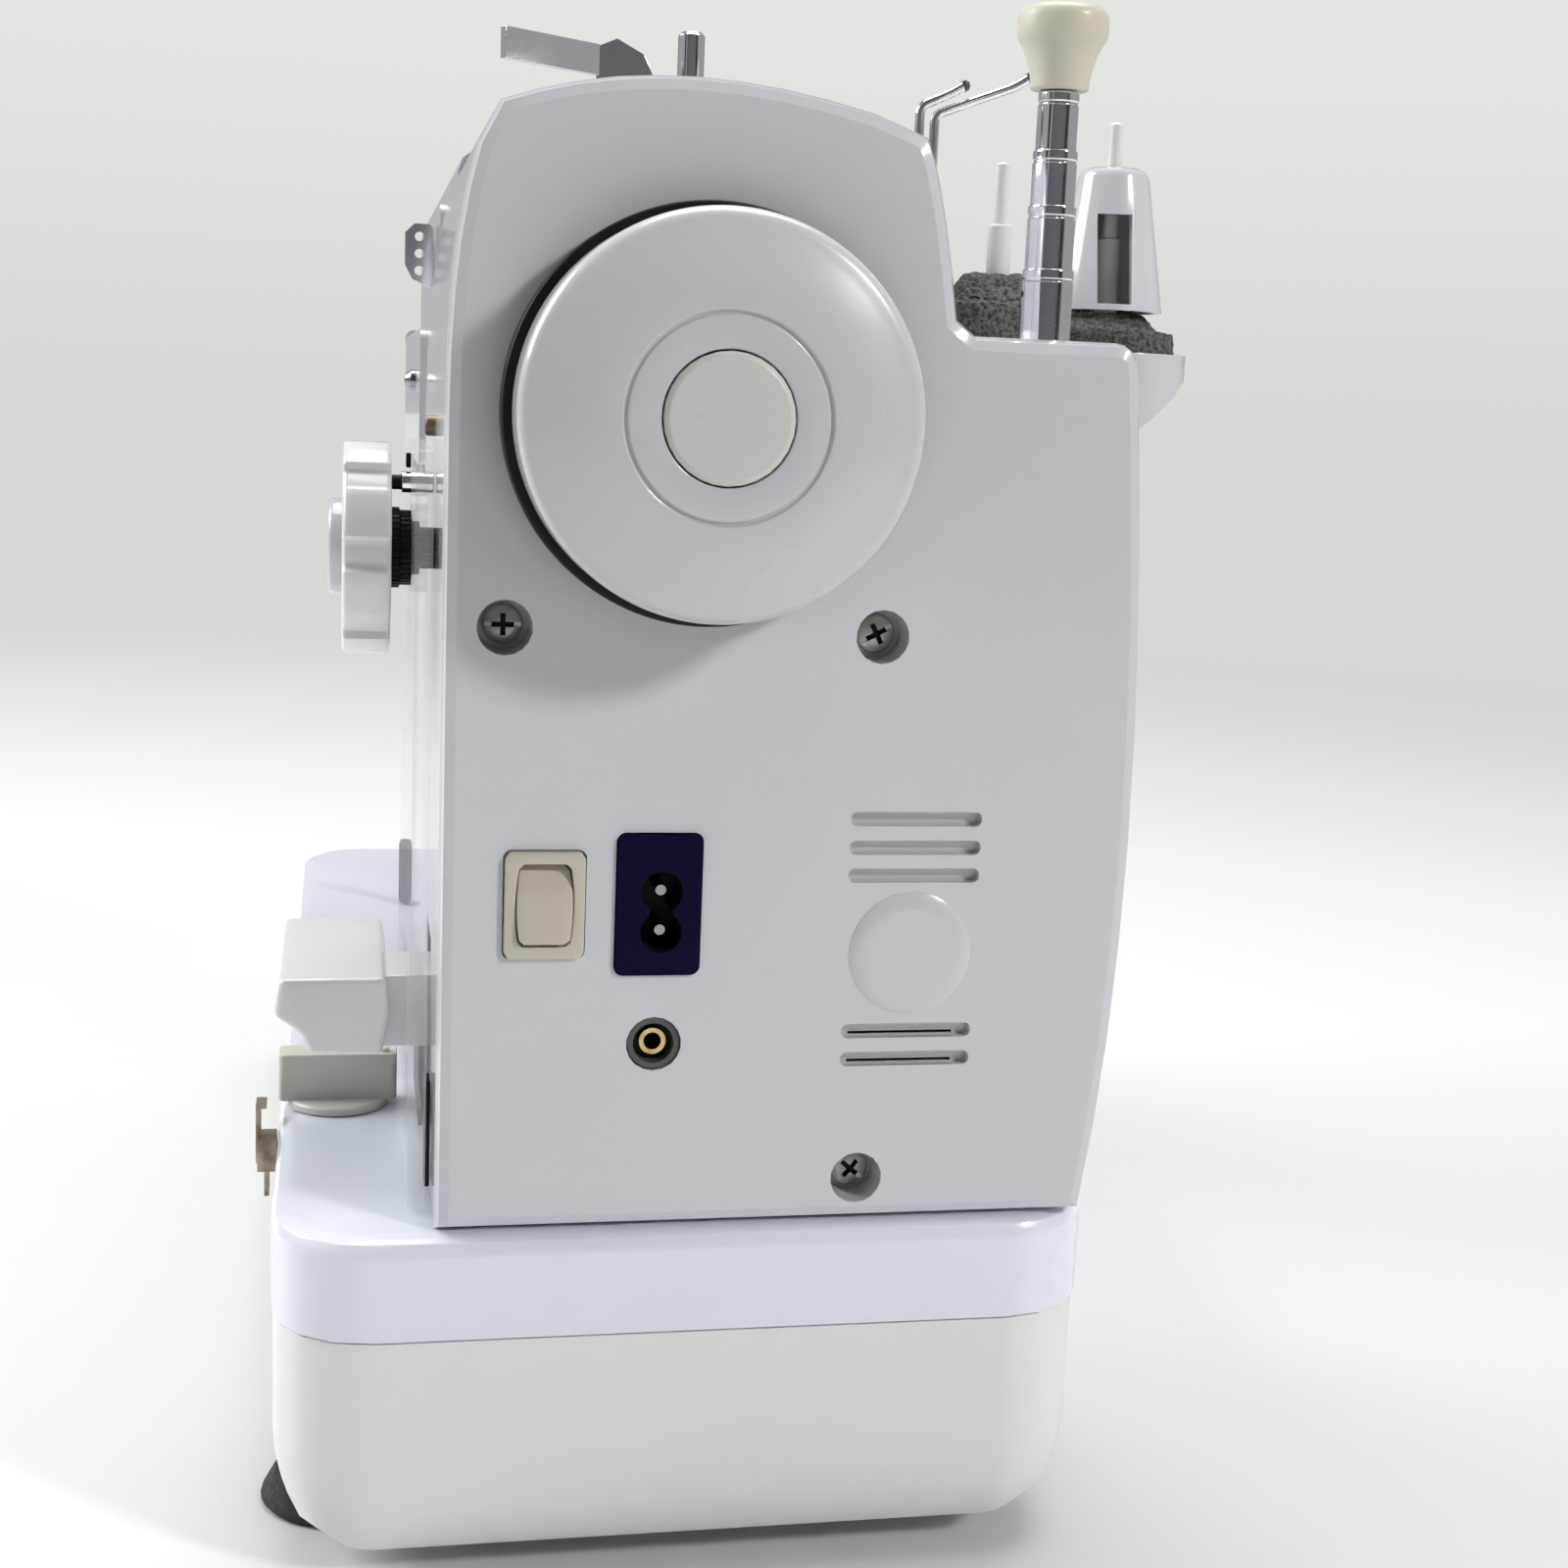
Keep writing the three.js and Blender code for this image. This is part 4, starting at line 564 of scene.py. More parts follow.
def polished_metal(name, colour, roughness=0.06, turned_marks=(1, 1, 14), smears=0.12):
    """Plated or polished metal: faint turning marks, tiny pits and finger smears."""
    f = Finish(name, colour, roughness, 1.0)
    f.tint(f.ramp(f.noise(14, 3), 0.45, 0.75, 0, smears * 2), tuple(c * 0.86 for c in colour))
    f.rough(f.ramp(f.noise(7, 4), 0.35, 0.8), roughness + smears)
    f.rough(f.ramp(f.noise(0.45, 2), 0.7, 0.76), roughness + 2 * smears)
    f.bump(f.noise(3.0, 2, turned_marks), 0.004)
    return f.material


def dull_metal(name, colour, roughness, stain, grain=1.2, depth=0.02):
    """Cast, machined or aged metal with a stain in its hollows."""
    f = Finish(name, colour, roughness, 0.9)
    f.tint(f.ramp(f.noise(6, 5), 0.42, 0.7), stain)
    f.rough(f.ramp(f.noise(3, 4), 0.4, 0.7), min(1, roughness + 0.25))
    f.bump(f.noise(grain, 4), depth)
    return f.material


def rubber(name, colour):
    f = Finish(name, colour, 0.75)
    f.tint(f.ramp(f.noise(3, 5), 0.5, 0.75, 0, 0.6), (0.07, 0.068, 0.065))
    f.rough(f.ramp(f.noise(1.4, 4), 0.4, 0.7), 0.9)
    f.bump(f.noise(0.7, 4), 0.03)
    return f.material


def open_foam(name):
    """Reticulated foam: pale strands round dark open cells, the dark being painted shade in the pores."""
    f = Finish(name, (0.070, 0.069, 0.063), 1.0)
    f.set(Specular_IOR_Level=0.12)
    # Painted shade: the middles of the cells keep the dark base colour, and only the strands between them
    # are lightened.
    f.tint(f.ramp(f.cells(1.0), 0.25, 0.6), (0.15, 0.147, 0.135))
    f.tint(f.ramp(f.noise(1.3, 3), 0.54, 0.64, 0, 0.6), (0.024, 0.023, 0.021))
    f.tint(f.ramp(f.noise(12, 2), 0.45, 0.7, 0, 0.3), (0.10, 0.096, 0.085))
    f.bump(f.cells(1.0), 0.35)
    f.bump(f.noise(0.45, 3), 0.2)
    return f.material


def clear_acrylic(name):
    """Clear sheet with a slightly green body and rubbed faces."""
    f = Finish(name, (0.88, 0.92, 0.90), 0.06)
    f.set(Alpha=0.2)
    f.rough(f.ramp(f.noise(8, 5), 0.5, 0.75), 0.14)
    f.tint(f.ramp(f.noise(30, 2), 0.4, 0.7, 0, 0.5), (0.80, 0.87, 0.85))
    f.bump(f.noise(1.2, 3), 0.002)
    return f.material


# Colour, second shade and roughness of each gloss plastic.
GLOSSY = {
    "gloss_white": ((0.585, 0.60, 0.635), (0.56, 0.575, 0.61), 0.18),
    "wheel_white": ((0.555, 0.55, 0.59), (0.53, 0.525, 0.565), 0.26),
    "lever_white": ((0.76, 0.77, 0.765), (0.72, 0.73, 0.725), 0.32),
}

# Colour, second shade, grain and its depth in mm, roughness and shine of each matt plastic.
MATT = {
    "base_white": ((0.79, 0.79, 0.78), (0.76, 0.76, 0.745)),
    "pin_white": ((0.76, 0.75, 0.72), (0.70, 0.69, 0.65), 0.9, 0.01, 0.4),
    "cap_cream": ((0.62, 0.585, 0.48), (0.56, 0.52, 0.41), 0.7, 0.012, 0.42),
    "switch_beige": ((0.56, 0.52, 0.44), (0.51, 0.47, 0.395), 0.5, 0.01, 0.36),
    "grey_green": ((0.60, 0.62, 0.545), (0.56, 0.58, 0.505), 0.6, 0.012, 0.42),
    "cap_disc": ((0.58, 0.585, 0.545), (0.55, 0.555, 0.515), 0.6, 0.006, 0.35),
    "black": ((0.005, 0.005, 0.006), (0.009, 0.009, 0.011), 0.6, 0.012, 0.5, 0.2),
    "gunmetal": ((0.10, 0.09, 0.088), (0.07, 0.065, 0.062), 0.7, 0.015, 0.4),
    "slate": ((0.065, 0.07, 0.08), (0.05, 0.055, 0.065), 0.6, 0.015, 0.45),
    "navy": ((0.001, 0.001, 0.02), (0.002, 0.002, 0.026), 0.7, 0.01, 0.45, 0.08),
    "knob_disc": ((0.62, 0.62, 0.56), (0.57, 0.57, 0.51), 0.6, 0.008, 0.38),
}


def make_materials():
    finishes = {name: gloss_plastic(f"{name}_plastic", *values) for name, values in GLOSSY.items()}
    finishes.update({name: grained_plastic(f"{name}_plastic", *values) for name, values in MATT.items()})
    finishes.update({
        "bed_white": gloss_paint("bed_white_enamel", (0.77, 0.79, 0.88), (0.74, 0.76, 0.855)),
        "screw_brown": dull_metal("screw_brown_metal", (0.30, 0.23, 0.15), 0.4, (0.15, 0.11, 0.07)),
        "black_rubber": rubber("foot_rubber", (0.02, 0.019, 0.019)),
        "chrome": polished_metal("chrome_plate", (0.86, 0.87, 0.90)),
        "dark_chrome": polished_metal("dark_chrome_plate", (0.34, 0.34, 0.37), 0.1),
        "steel": polished_metal("ground_steel", (0.62, 0.62, 0.63), 0.34, (1, 14, 1), 0.04),
        "screw_steel": dull_metal("screw_steel", (0.50, 0.49, 0.47), 0.32, (0.30, 0.28, 0.25)),
        "brass": dull_metal("jack_brass", (0.72, 0.52, 0.24), 0.28, (0.45, 0.30, 0.13)),
        "bronze": dull_metal("bracket_bronze", (0.42, 0.35, 0.27), 0.34, (0.22, 0.165, 0.115)),
        "cast_alloy": dull_metal("cast_alloy", (0.52, 0.53, 0.54), 0.5, (0.38, 0.38, 0.38), 0.9, 0.06),
        "foam": open_foam("open_cell_foam"),
        "clear": clear_acrylic("clear_acrylic"),
    })
    return finishes


NODE_FINISH = {
    "base_white": ["lower_base"],
    "black_rubber": [*(f"rubber_foot_{i}" for i in (1, 2, 3, 4)), "motor_belt", "timing_belt"],
    "bed_white": ["bed_casting"],
    "steel": [
        "needle_plate", "slide_cover", "main_shaft", "motor_rotor", "lower_shaft", "rotary_hook", "feed_dog",
    ],
    "bronze": ["bed_bracket"],
    "gloss_white": [
        "column_housing", "arm_housing", "head_housing", "face_cover", "side_cover", "tension_dial",
        "spool_tray", "cone_holder", "stitch_dial", "reverse_lever",
    ],
    "wheel_white": ["handwheel"],
    "switch_beige": ["switch_frame", "rocker_button"],
    "navy": ["power_inlet"],
    "black": ["pedal_jack", "handwheel_back", "dial_hub"],
    "cast_alloy": ["main_frame", "motor"],
    "cap_disc": ["handwheel_cap"],
    "grey_green": ["presser_lifter", "feed_knob"],
    "chrome": [
        "needle_bar", "presser_foot", "take_up_lever", "dial_stop", "thread_guide", "winder_shaft",
        "thread_wire_short", "thread_wire_long", "pole_base", "pole_lower", "pole_middle",
        "pole_upper", "winder_lever",
    ],
    "clear": ["clear_pane"],
    "cap_cream": ["pole_cap"],
    "pin_white": ["spool_pin_near", "spool_pin_rear"],
    "screw_steel": [f"side_screw_{i}" for i in (1, 2, 3)],
    "foam": ["foam_mat_near", "foam_mat_rear"],
}

# How far each CAD node's sharp edges are rounded, in mm. Nodes not named get DEFAULT_EDGE.
DEFAULT_EDGE = 0.25
NODE_EDGE = {
    "clear_pane": 0.15, "feed_dog": 0.08, "needle_plate": 0.12, "lower_base": 0.3, "bed_casting": 0.4,
    "feed_knob": 0.45, "side_cover": 0.5,
}


def finish_frame(finishes):
    """Gives every CAD node its material and softened edges."""
    for slot, names in NODE_FINISH.items():
        for name in names:
            node = frame["nodes"][name]
            node.data.materials.clear()
            node.data.materials.append(finishes[slot])
            edge = NODE_EDGE.get(name, DEFAULT_EDGE)
            roll = COVER_ROLL if name == "side_cover" else 0
            soften(node, edge, segments=2 if edge < 0.5 else 3, rim=roll)


# ------------------ pieces


def middle_of(node, axis):
    """A node's middle, in the plane across an axis."""
    low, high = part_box(node)
    centre = (low + high) / 2
    return {"x": (centre.y, centre.z), "y": (centre.x, centre.z), "z": (centre.x, centre.y)}[axis]


def stand_in(piece, node, finish, degrees=30):
    """A made piece that stands for one CAD node, on that node's own body."""
    if not piece.data.materials:
        piece.data.materials.append(finish)
    smooth_by_angle(piece, degrees)
    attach(piece, frame["nodes"][node]["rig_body"])
    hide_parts(node)
    return piece


def make_handwheel(finishes):
    """The white wheel: a rounded rim, a domed face with a ring groove, and a seat for the middle cap."""
    low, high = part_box("handwheel")
    radius = (high.y - low.y) / 2 / MM
    back, tip = low.x / MM, high.x / MM
    shoulder = tip - WHEEL_DOME
    edge = shoulder - 1.0
    ring_in, ring_out = WHEEL_RING - WHEEL_RING_WIDTH / 2, WHEEL_RING + WHEEL_RING_WIDTH / 2
    profile = [(0, back)]
    profile += rounded((radius - WHEEL_BACK_EDGE, back), (radius, back), (radius, back + WHEEL_BACK_EDGE), 4)
    profile += rounded((radius, edge - WHEEL_EDGE), (radius, edge), (radius - WHEEL_EDGE, edge + 0.5), 8)
    dome_steps = 10
    for i in range(1, dome_steps + 1):
        t = i / dome_steps
        r = radius - WHEEL_EDGE - t * (radius - WHEEL_EDGE - ring_out - 0.3)
        profile.append((r, edge + 0.5 + (tip - edge - 0.5) * math.sin(t * math.pi / 2)))
    profile += rounded((ring_out + 0.3, tip), (ring_out, tip), (ring_out, tip - 0.3), 3)
    floor = tip - 2 * WHEEL_RING_DEPTH
    profile += rounded((ring_out, tip - 0.3), (WHEEL_RING, floor), (ring_in, tip - 0.3), 6)
    profile += rounded((ring_in, tip - 0.3), (ring_in, tip), (ring_in - 0.3, tip), 3)
    profile += rounded((WHEEL_SEAT + 0.4, tip), (WHEEL_SEAT, tip), (WHEEL_SEAT, tip - 0.4), 3)
    profile += [(WHEEL_SEAT, tip - WHEEL_SEAT_DEPTH), (0, tip - WHEEL_SEAT_DEPTH)]
    wheel = mesh_object("handwheel_rim", turned("x", middle_of("handwheel", "x"), millimetres(profile)))
    stand_in(wheel, "handwheel", finishes["wheel_white"], 40)


def make_foam(node, name, finishes, seed):
    """A lumpy open-cell mat in the space of its CAD ring."""
    low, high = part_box(node)
    centre = middle_of(node, "z")
    radius = (high.x - low.x) / 2
    inner = FOAM_BORE * MM
    base, top = low.z, high.z
    profile = [(inner, base + 0.0002)]
    shares = [i / FOAM_ROWS for i in range(FOAM_ROWS + 1)]
    profile += [(inner + (radius - inner) * share, base) for share in shares]
    profile += [(radius, base + (top - base) * share) for share in shares[1:]]
    profile += [(radius - (radius - inner) * share, top) for share in shares[1:]]
    profile.append((inner, base + 0.0002))
    bm = turned("z", centre, profile, FOAM_STEPS)
    bmesh.ops.remove_doubles(bm, verts=bm.verts, dist=1e-6)
    offset = Vector((seed * 7.1, seed * 3.3, seed * 1.7))
    for vertex in bm.verts:
        flat = Vector((vertex.co.x - centre[0], vertex.co.y - centre[1], 0))
        rise = (vertex.co.z - base) / (top - base)
        out = flat.length / radius
        lump = noise.noise(vertex.co * FOAM_WAVE_RATE + offset) * FOAM_LUMP * MM
        pore = noise.noise(vertex.co * FOAM_PORE_RATES[0] + offset) * FOAM_PORE * MM
        pore += noise.noise(vertex.co * FOAM_PORE_RATES[1] + offset) * FOAM_PORE * 0.5 * MM
        corner = max(0.0, rise - 0.6) * max(0.0, out - 0.5) * 22 * MM
        away = flat.normalized() if flat.length > 1e-6 else Vector((0, 0, 0))
        side = out > 0.98
        if rise > 0.02 and out > 0.25:
            vertex.co += away * ((lump + pore) if side else 0) - away * corner * 0.8
            vertex.co.z += (lump + pore) * (1 if rise > 0.98 else 0.4) - corner
    mat = mesh_object(name, bm)
    stand_in(mat, node, finishes["foam"], 180)


def make_wheel_back(finishes):
    """The black ring behind the handwheel."""
    low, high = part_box("handwheel_back")
    radius = (high.y - low.y) / 2
    bore = WHEEL_BACK_BORE * MM
    lip = 0.9 * MM
    profile = [(bore, low.x)]
    profile += rounded((radius - lip, low.x), (radius, low.x), (radius, low.x + lip), 5)
    profile += rounded((radius, high.x - lip), (radius, high.x), (radius - lip, high.x), 5)
    profile += [(radius - 6 * MM, high.x), (bore, high.x), (bore, low.x)]
    ring = mesh_object("handwheel_backing", turned("x", middle_of("handwheel_back", "x"), profile))
    stand_in(ring, "handwheel_back", finishes["black"], 40)


def scallops(lobes, depth):
    """A factor on a knob's radius: shallow flat-bottomed grooves between its lobes."""

    def reach(angle, radius):
        phase = (angle * lobes / (2 * math.pi)) % 1
        inside = abs(phase - 0.5) * 2
        t = min(1, max(0, (inside - 0.56) / 0.14))
        return 1 - depth * t * t * (3 - 2 * t)

    return reach


def make_stitch_dial(finishes):
    """The scalloped stitch dial and the button in its middle."""
    low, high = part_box("stitch_dial")
    centre = middle_of("stitch_dial", "y")
    radius = (high.x - low.x) / 2
    front = low.y + DIAL_BUTTON * MM
    edge = 1.3 * MM
    reach = scallops(DIAL_LOBES, DIAL_SCALLOP * MM / radius)
    rim = [(0, front + 0.6 * MM), (radius * 0.55, front + 0.6 * MM), (radius * 0.62, front)]
    rim += rounded((radius - 2 * edge, front), (radius, front), (radius, front + edge), 6)
    rim += rounded((radius, high.y - edge), (radius, high.y), (radius - edge, high.y), 5)
    rim += [(radius * 0.86, high.y), (radius * 0.84, high.y - 1.2 * MM), (0, high.y - 1.2 * MM)]
    dial = mesh_object("dial_rim", turned("y", centre, rim, 192, reach))
    stand_in(dial, "stitch_dial", finishes["lever_white"], 40)
    button = [(0, low.y)]
    r = DIAL_BUTTON_RADIUS * MM
    button += rounded((r - edge, low.y), (r, low.y), (r, low.y + edge), 6)
    button += [(r, front + MM), (0, front + MM)]
    cap = mesh_object("dial_button", turned("y", centre, button, 64))
    add_piece(cap, "dial", finishes["gloss_white"])


def make_dial_hub(finishes):
    """The ribbed black neck between the dial and the column."""
    low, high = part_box("dial_hub")
    centre = middle_of("dial_hub", "y")
    radius = (high.x - low.x) / 2
    step = low.y + 4.2 * MM
    neck = radius * 0.66
    stem = 4.5 * MM
    wide = [(0, low.y), (radius, low.y), (radius, low.y + 1.6 * MM), (radius * 0.93, low.y + 1.9 * MM)]
    wide += [(radius * 0.93, step), (neck, step + 0.3 * MM)]
    narrow = [(neck, low.y + 6 * MM), (stem, low.y + 6.2 * MM), (stem, high.y), (0, high.y)]
    ribs = scallops(36, 0.035)
    hub = mesh_object("dial_neck", turned("y", centre, wide + narrow, 288, ribs))
    stand_in(hub, "dial_hub", finishes["black"], 35)


def bent_rod(name, path, radius, sides=24):
    """A round bar swept along a smoothed path, with domed ends."""
    curve = bpy.data.curves.new(name, "CURVE")
    curve.dimensions = "3D"
    curve.bevel_depth = radius
    curve.bevel_resolution = sides // 4
    curve.use_fill_caps = True
    spline = curve.splines.new("POLY")
    spline.points.add(len(path) - 1)
    for point, place in zip(spline.points, path):
        point.co = (*place, 1)
    holder = bpy.data.objects.new(name, curve)
    bpy.context.scene.collection.objects.link(holder)
    graph = bpy.context.evaluated_depsgraph_get()
    mesh = bpy.data.meshes.new_from_object(holder.evaluated_get(graph))
    bpy.data.objects.remove(holder)
    piece = bpy.data.objects.new(name, mesh)
    bpy.context.scene.collection.objects.link(piece)
    return piece


def corner_path(corners, radius, steps=8):
    """A path through corners, each rounded to about a radius."""
    path = [corners[0]]
    for before, corner, after in zip(corners, corners[1:], corners[2:]):
        start = corner + (before - corner).normalized() * radius
        end = corner + (after - corner).normalized() * radius
        for i in range(steps + 1):
            t = i / steps
            path.append(start * (1 - t) ** 2 + corner * 2 * t * (1 - t) + end * t**2)
    path.append(corners[-1])
    return path


def make_wires(finishes):
    """The two bent thread wires, each with a dark bead on its tip."""
    for node, (bend, shoulder) in WIRES.items():
        low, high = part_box(node)
        x = (low.x + high.x) / 2
        y = low.y + WIRE_RADIUS * MM
        tip = (high.y - 0.4 * MM, high.z - 0.9 * MM)
        corners = [Vector((x, y, low.z)), Vector((x, y, low.z + bend * MM))]
        corners.append(Vector((x, low.y + shoulder[0] * MM, low.z + shoulder[1] * MM)))
        corners.append(Vector((x, *tip)))
        wire = bent_rod(f"{node}_bar", corner_path(corners, 1.9 * MM), WIRE_RADIUS * MM)
        stand_in(wire, node, finishes["chrome"], 40)
        name = f"{node}_tip"
        drop = millimetres([(0, 0), (1.0, 0.5), (1.25, 1.4), (1.0, 2.3), (0, 2.8)])
        bead = mesh_object(name, turned("z", (x, tip[0]), drop, 24))
        bead.location.z = tip[1] - 1.4 * MM
        add_piece(bead, "machine", finishes["slate"])


def add_piece(piece, body, finish, degrees=35):
    """A made piece of its own, with no CAD node behind it."""
    if not piece.data.materials:
        piece.data.materials.append(finish)
    smooth_by_angle(piece, degrees)
    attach(piece, body)
    return piece


def slotted_screw(name, place, radius, rise, finishes):
    """A brown cheese-head screw standing on a front face, its slot upright."""
    back, front = place.y + 0.5 * MM, place.y - rise
    side = [(0, back), (radius, back), (radius, front + 0.6 * MM)]
    side += rounded((radius, front + 0.5 * MM), (radius * 0.98, front), (radius * 0.5, front), 6)
    side += [(0, front)]
    head = mesh_object(name, turned("y", (place.x, place.z), side, 48))
    head.data.materials.append(finishes["screw_brown"])
    # The slot is lined with black: painted shade inside the slot.
    tool = box_mesh("driver", (place.x, front, place.z), (0.8 * MM, 2.4 * MM, 4 * radius))
    tool.data.materials.append(finishes["black"])
    carve(head, tool)
    return add_piece(head, "machine", finishes["screw_brown"])


def block(centre, size):
    bm = bmesh.new()
    bmesh.ops.create_cube(bm, size=1)
    bmesh.ops.scale(bm, vec=size, verts=bm.verts)
    bmesh.ops.translate(bm, vec=centre, verts=bm.verts)
    return bm


def box_mesh(name, centre, size):
    return mesh_object(name, block(centre, size))


def carve(piece, tool):
    """Cuts a tool out of a piece for good, leaving the tool's material in the cut, and removes the tool."""
    cut = piece.modifiers.new("cut", "BOOLEAN")
    cut.object = tool
    cut.solver = "EXACT"
    cut.material_mode = "TRANSFER"
    graph = bpy.context.evaluated_depsgraph_get()
    mesh = bpy.data.meshes.new_from_object(piece.evaluated_get(graph))
    piece.modifiers.clear()
    piece.data = mesh
    bpy.data.objects.remove(tool)


def rounded_block(name, low, high, radius, segments=4):
    """A block with every edge rounded."""
    bm = block([(h + l) / 2 for l, h in zip(low, high)], [h - l for l, h in zip(low, high)])
    bmesh.ops.bevel(bm, geom=bm.edges[:], offset=radius, segments=segments, profile=0.5, affect="EDGES")
    return mesh_object(name, bm)


def rounded_outline(points, radius, steps=5):
    """A closed outline with each corner softened to about a radius."""
    out = []
    count = len(points)
    for i, corner in enumerate(points):
        corner = Vector(corner)
        before, after = Vector(points[i - 1]), Vector(points[(i + 1) % count])
        start = corner + (before - corner).normalized() * min(radius, (before - corner).length * 0.45)
        end = corner + (after - corner).normalized() * min(radius, (after - corner).length * 0.45)
        out += rounded(tuple(start), tuple(corner), tuple(end), steps)
    return out


def bar_along_x(name, outline, x0, x1, edge, steps=5):
    """A bar with a (y, z) outline whose two ends are rolled over by an edge radius."""
    middle = Vector((sum(p[0] for p in outline), sum(p[1] for p in outline))) / len(outline)
    stations = [(x0 + edge * (1 - math.sin(a)), 1 - math.cos(a)) for a in reversed(quarter(steps))]
    stations += [(x1 - edge * (1 - math.sin(a)), 1 - math.cos(a)) for a in quarter(steps)]
    bm = bmesh.new()
    rings = []
    for x, inset in stations:
        ring = []
        for p in outline:
            pull = (middle - Vector(p)).normalized() * edge * inset
            ring.append(bm.verts.new((x, p[0] + pull.x, p[1] + pull.y)))
        rings.append(ring)
    for a, b in zip(rings, rings[1:]):
        join_rings(bm, a, b, len(outline))
    bm.faces.new(rings[0])
    bm.faces.new(rings[-1])
    return mesh_object(name, bm)


def quarter(steps):
    return [math.pi / 2 * i / steps for i in range(steps + 1)]


def make_reverse_lever(finishes):
    """The broad reverse lever: a scooped pad with a parting line, on a stem that runs into the column."""
    low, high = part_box("reverse_lever")
    pad_back = low.y + LEVER_PAD_DEPTH * MM
    bottom = high.z - LEVER_HEIGHT * MM
    line = high.z - LEVER_PARTING * MM
    top = high.z
    pad = [
        (low.y + 1.2 * MM, top), (low.y, line + 1.6 * MM), (low.y + 0.3 * MM, line),
        (low.y + 5.4 * MM, line - 3.6 * MM), (low.y + 8 * MM, bottom), (pad_back - 1.6 * MM, bottom),
        (pad_back - 0.2 * MM, line), (pad_back, line + 0.4 * MM), (pad_back - 1 * MM, top),
    ]
    piece = bar_along_x("lever_pad", rounded_outline(pad, 1.5 * MM), low.x, high.x, 1.6 * MM)
    add_piece(piece, "reverse", finishes["lever_white"], 50)
    stem_right = high.x - LEVER_STEM[0] * MM
    stem_left = stem_right - LEVER_STEM[1] * MM
    root = pad_back - 3 * MM
    stem = [(root, top - 0.8 * MM), (root, bottom + 0.5 * MM), (high.y, low.z), (high.y, top)]
    arm = bar_along_x("lever_stem", rounded_outline(stem, 0.8 * MM), stem_left, stem_right, 0.6 * MM)
    stand_in(arm, "reverse_lever", finishes["lever_white"], 50)


def make_side_screws(finishes):
    """Domed pan heads with a crossed recess and a straight slot, each turned a different way."""
    # The crossed recess is lined with black: painted shade in its depths. The straight slot keeps the
    # screw's steel.
    cuts = (((1.5, 9.5, 1.0), "screw_steel"), ((3.4, 1.1, 4.6), "black"), ((3.4, 4.6, 1.1), "black"))
    for index, spin in enumerate(SIDE_SCREW_TURNS, 1):
        node = f"side_screw_{index}"
        low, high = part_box(node)
        centre = middle_of(node, "x")
        radius = (high.y - low.y) / 2
        brim = high.x - 1.5 * MM
        shank = 1.9 * MM
        side = [(0, low.x), (shank, low.x), (shank, brim - 1.4 * MM), (radius, brim - 1.4 * MM)]
        side += rounded((radius, brim), (radius * 0.94, high.x), (0, high.x), 10)
        head = mesh_object(f"{node}_head", turned("x", centre, side, 48))
        top = Vector((high.x, *centre))
        head.data.materials.append(finishes["screw_steel"])
        for size, finish in cuts:
            tool = box_mesh("driver", (0, 0, 0), [c * MM for c in size])
            tool.data.materials.append(finishes[finish])
            tool.matrix_world = Matrix.Translation(top) @ Matrix.Rotation(math.radians(spin), 4, "X")
            carve(head, tool)
        stand_in(head, node, finishes["screw_steel"], 32)


def barrel_outline(centre, width, height, bulge, steps=16):
    """A rectangle in (y, z) whose upright sides bow out, with softened corners."""
    points = []
    for side in (1, -1):
        for i in range(steps + 1):
            t = 2 * i / steps - 1
            end = min(1, (1 - abs(t)) * 7)
            half = width / 2 + bulge * (1 - t * t) - 0.9 * MM * (1 - end) ** 2
            points.append((centre[0] + side * half, centre[1] + side * t * height / 2))
    return points


def plate_with_window(name, outer, inner, back, front):
    """A thick plate between two outlines with the same number of points."""
    bm = bmesh.new()
    loops = [[bm.verts.new((x, *p)) for p in outline] for outline, x in
             ((outer, back), (outer, front), (inner, front), (inner, back))]
    for a, b in zip(loops, loops[1:] + loops[:1]):
        join_rings(bm, a, b, len(a))
    return mesh_object(name, bm)


def make_switch(finishes):
    """The on-off switch: a frame with a bowed window and the rocker in it."""
    low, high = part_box("switch_frame")
    button_low, button_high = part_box("rocker_button")
    centre = ((button_low.y + button_high.y) / 2, (button_low.z + button_high.z) / 2)
    height = button_high.z - button_low.z + 0.8 * MM
    width = button_high.y - button_low.y
    window = barrel_outline(centre, width + 0.3 * MM, height + 1.2 * MM, ROCKER_BULGE * MM)
    middle = ((low.y + high.y) / 2, (low.z + high.z) / 2)
    outside = barrel_outline(middle, high.y - low.y, high.z - low.z, 0)
    frame_piece = plate_with_window("switch_surround", outside, window, low.x, high.x)
    edge_bevel(frame_piece, 0.3)
    stand_in(frame_piece, "switch_frame", finishes["switch_beige"], 40)
    make_rocker(centre, width, height, finishes)


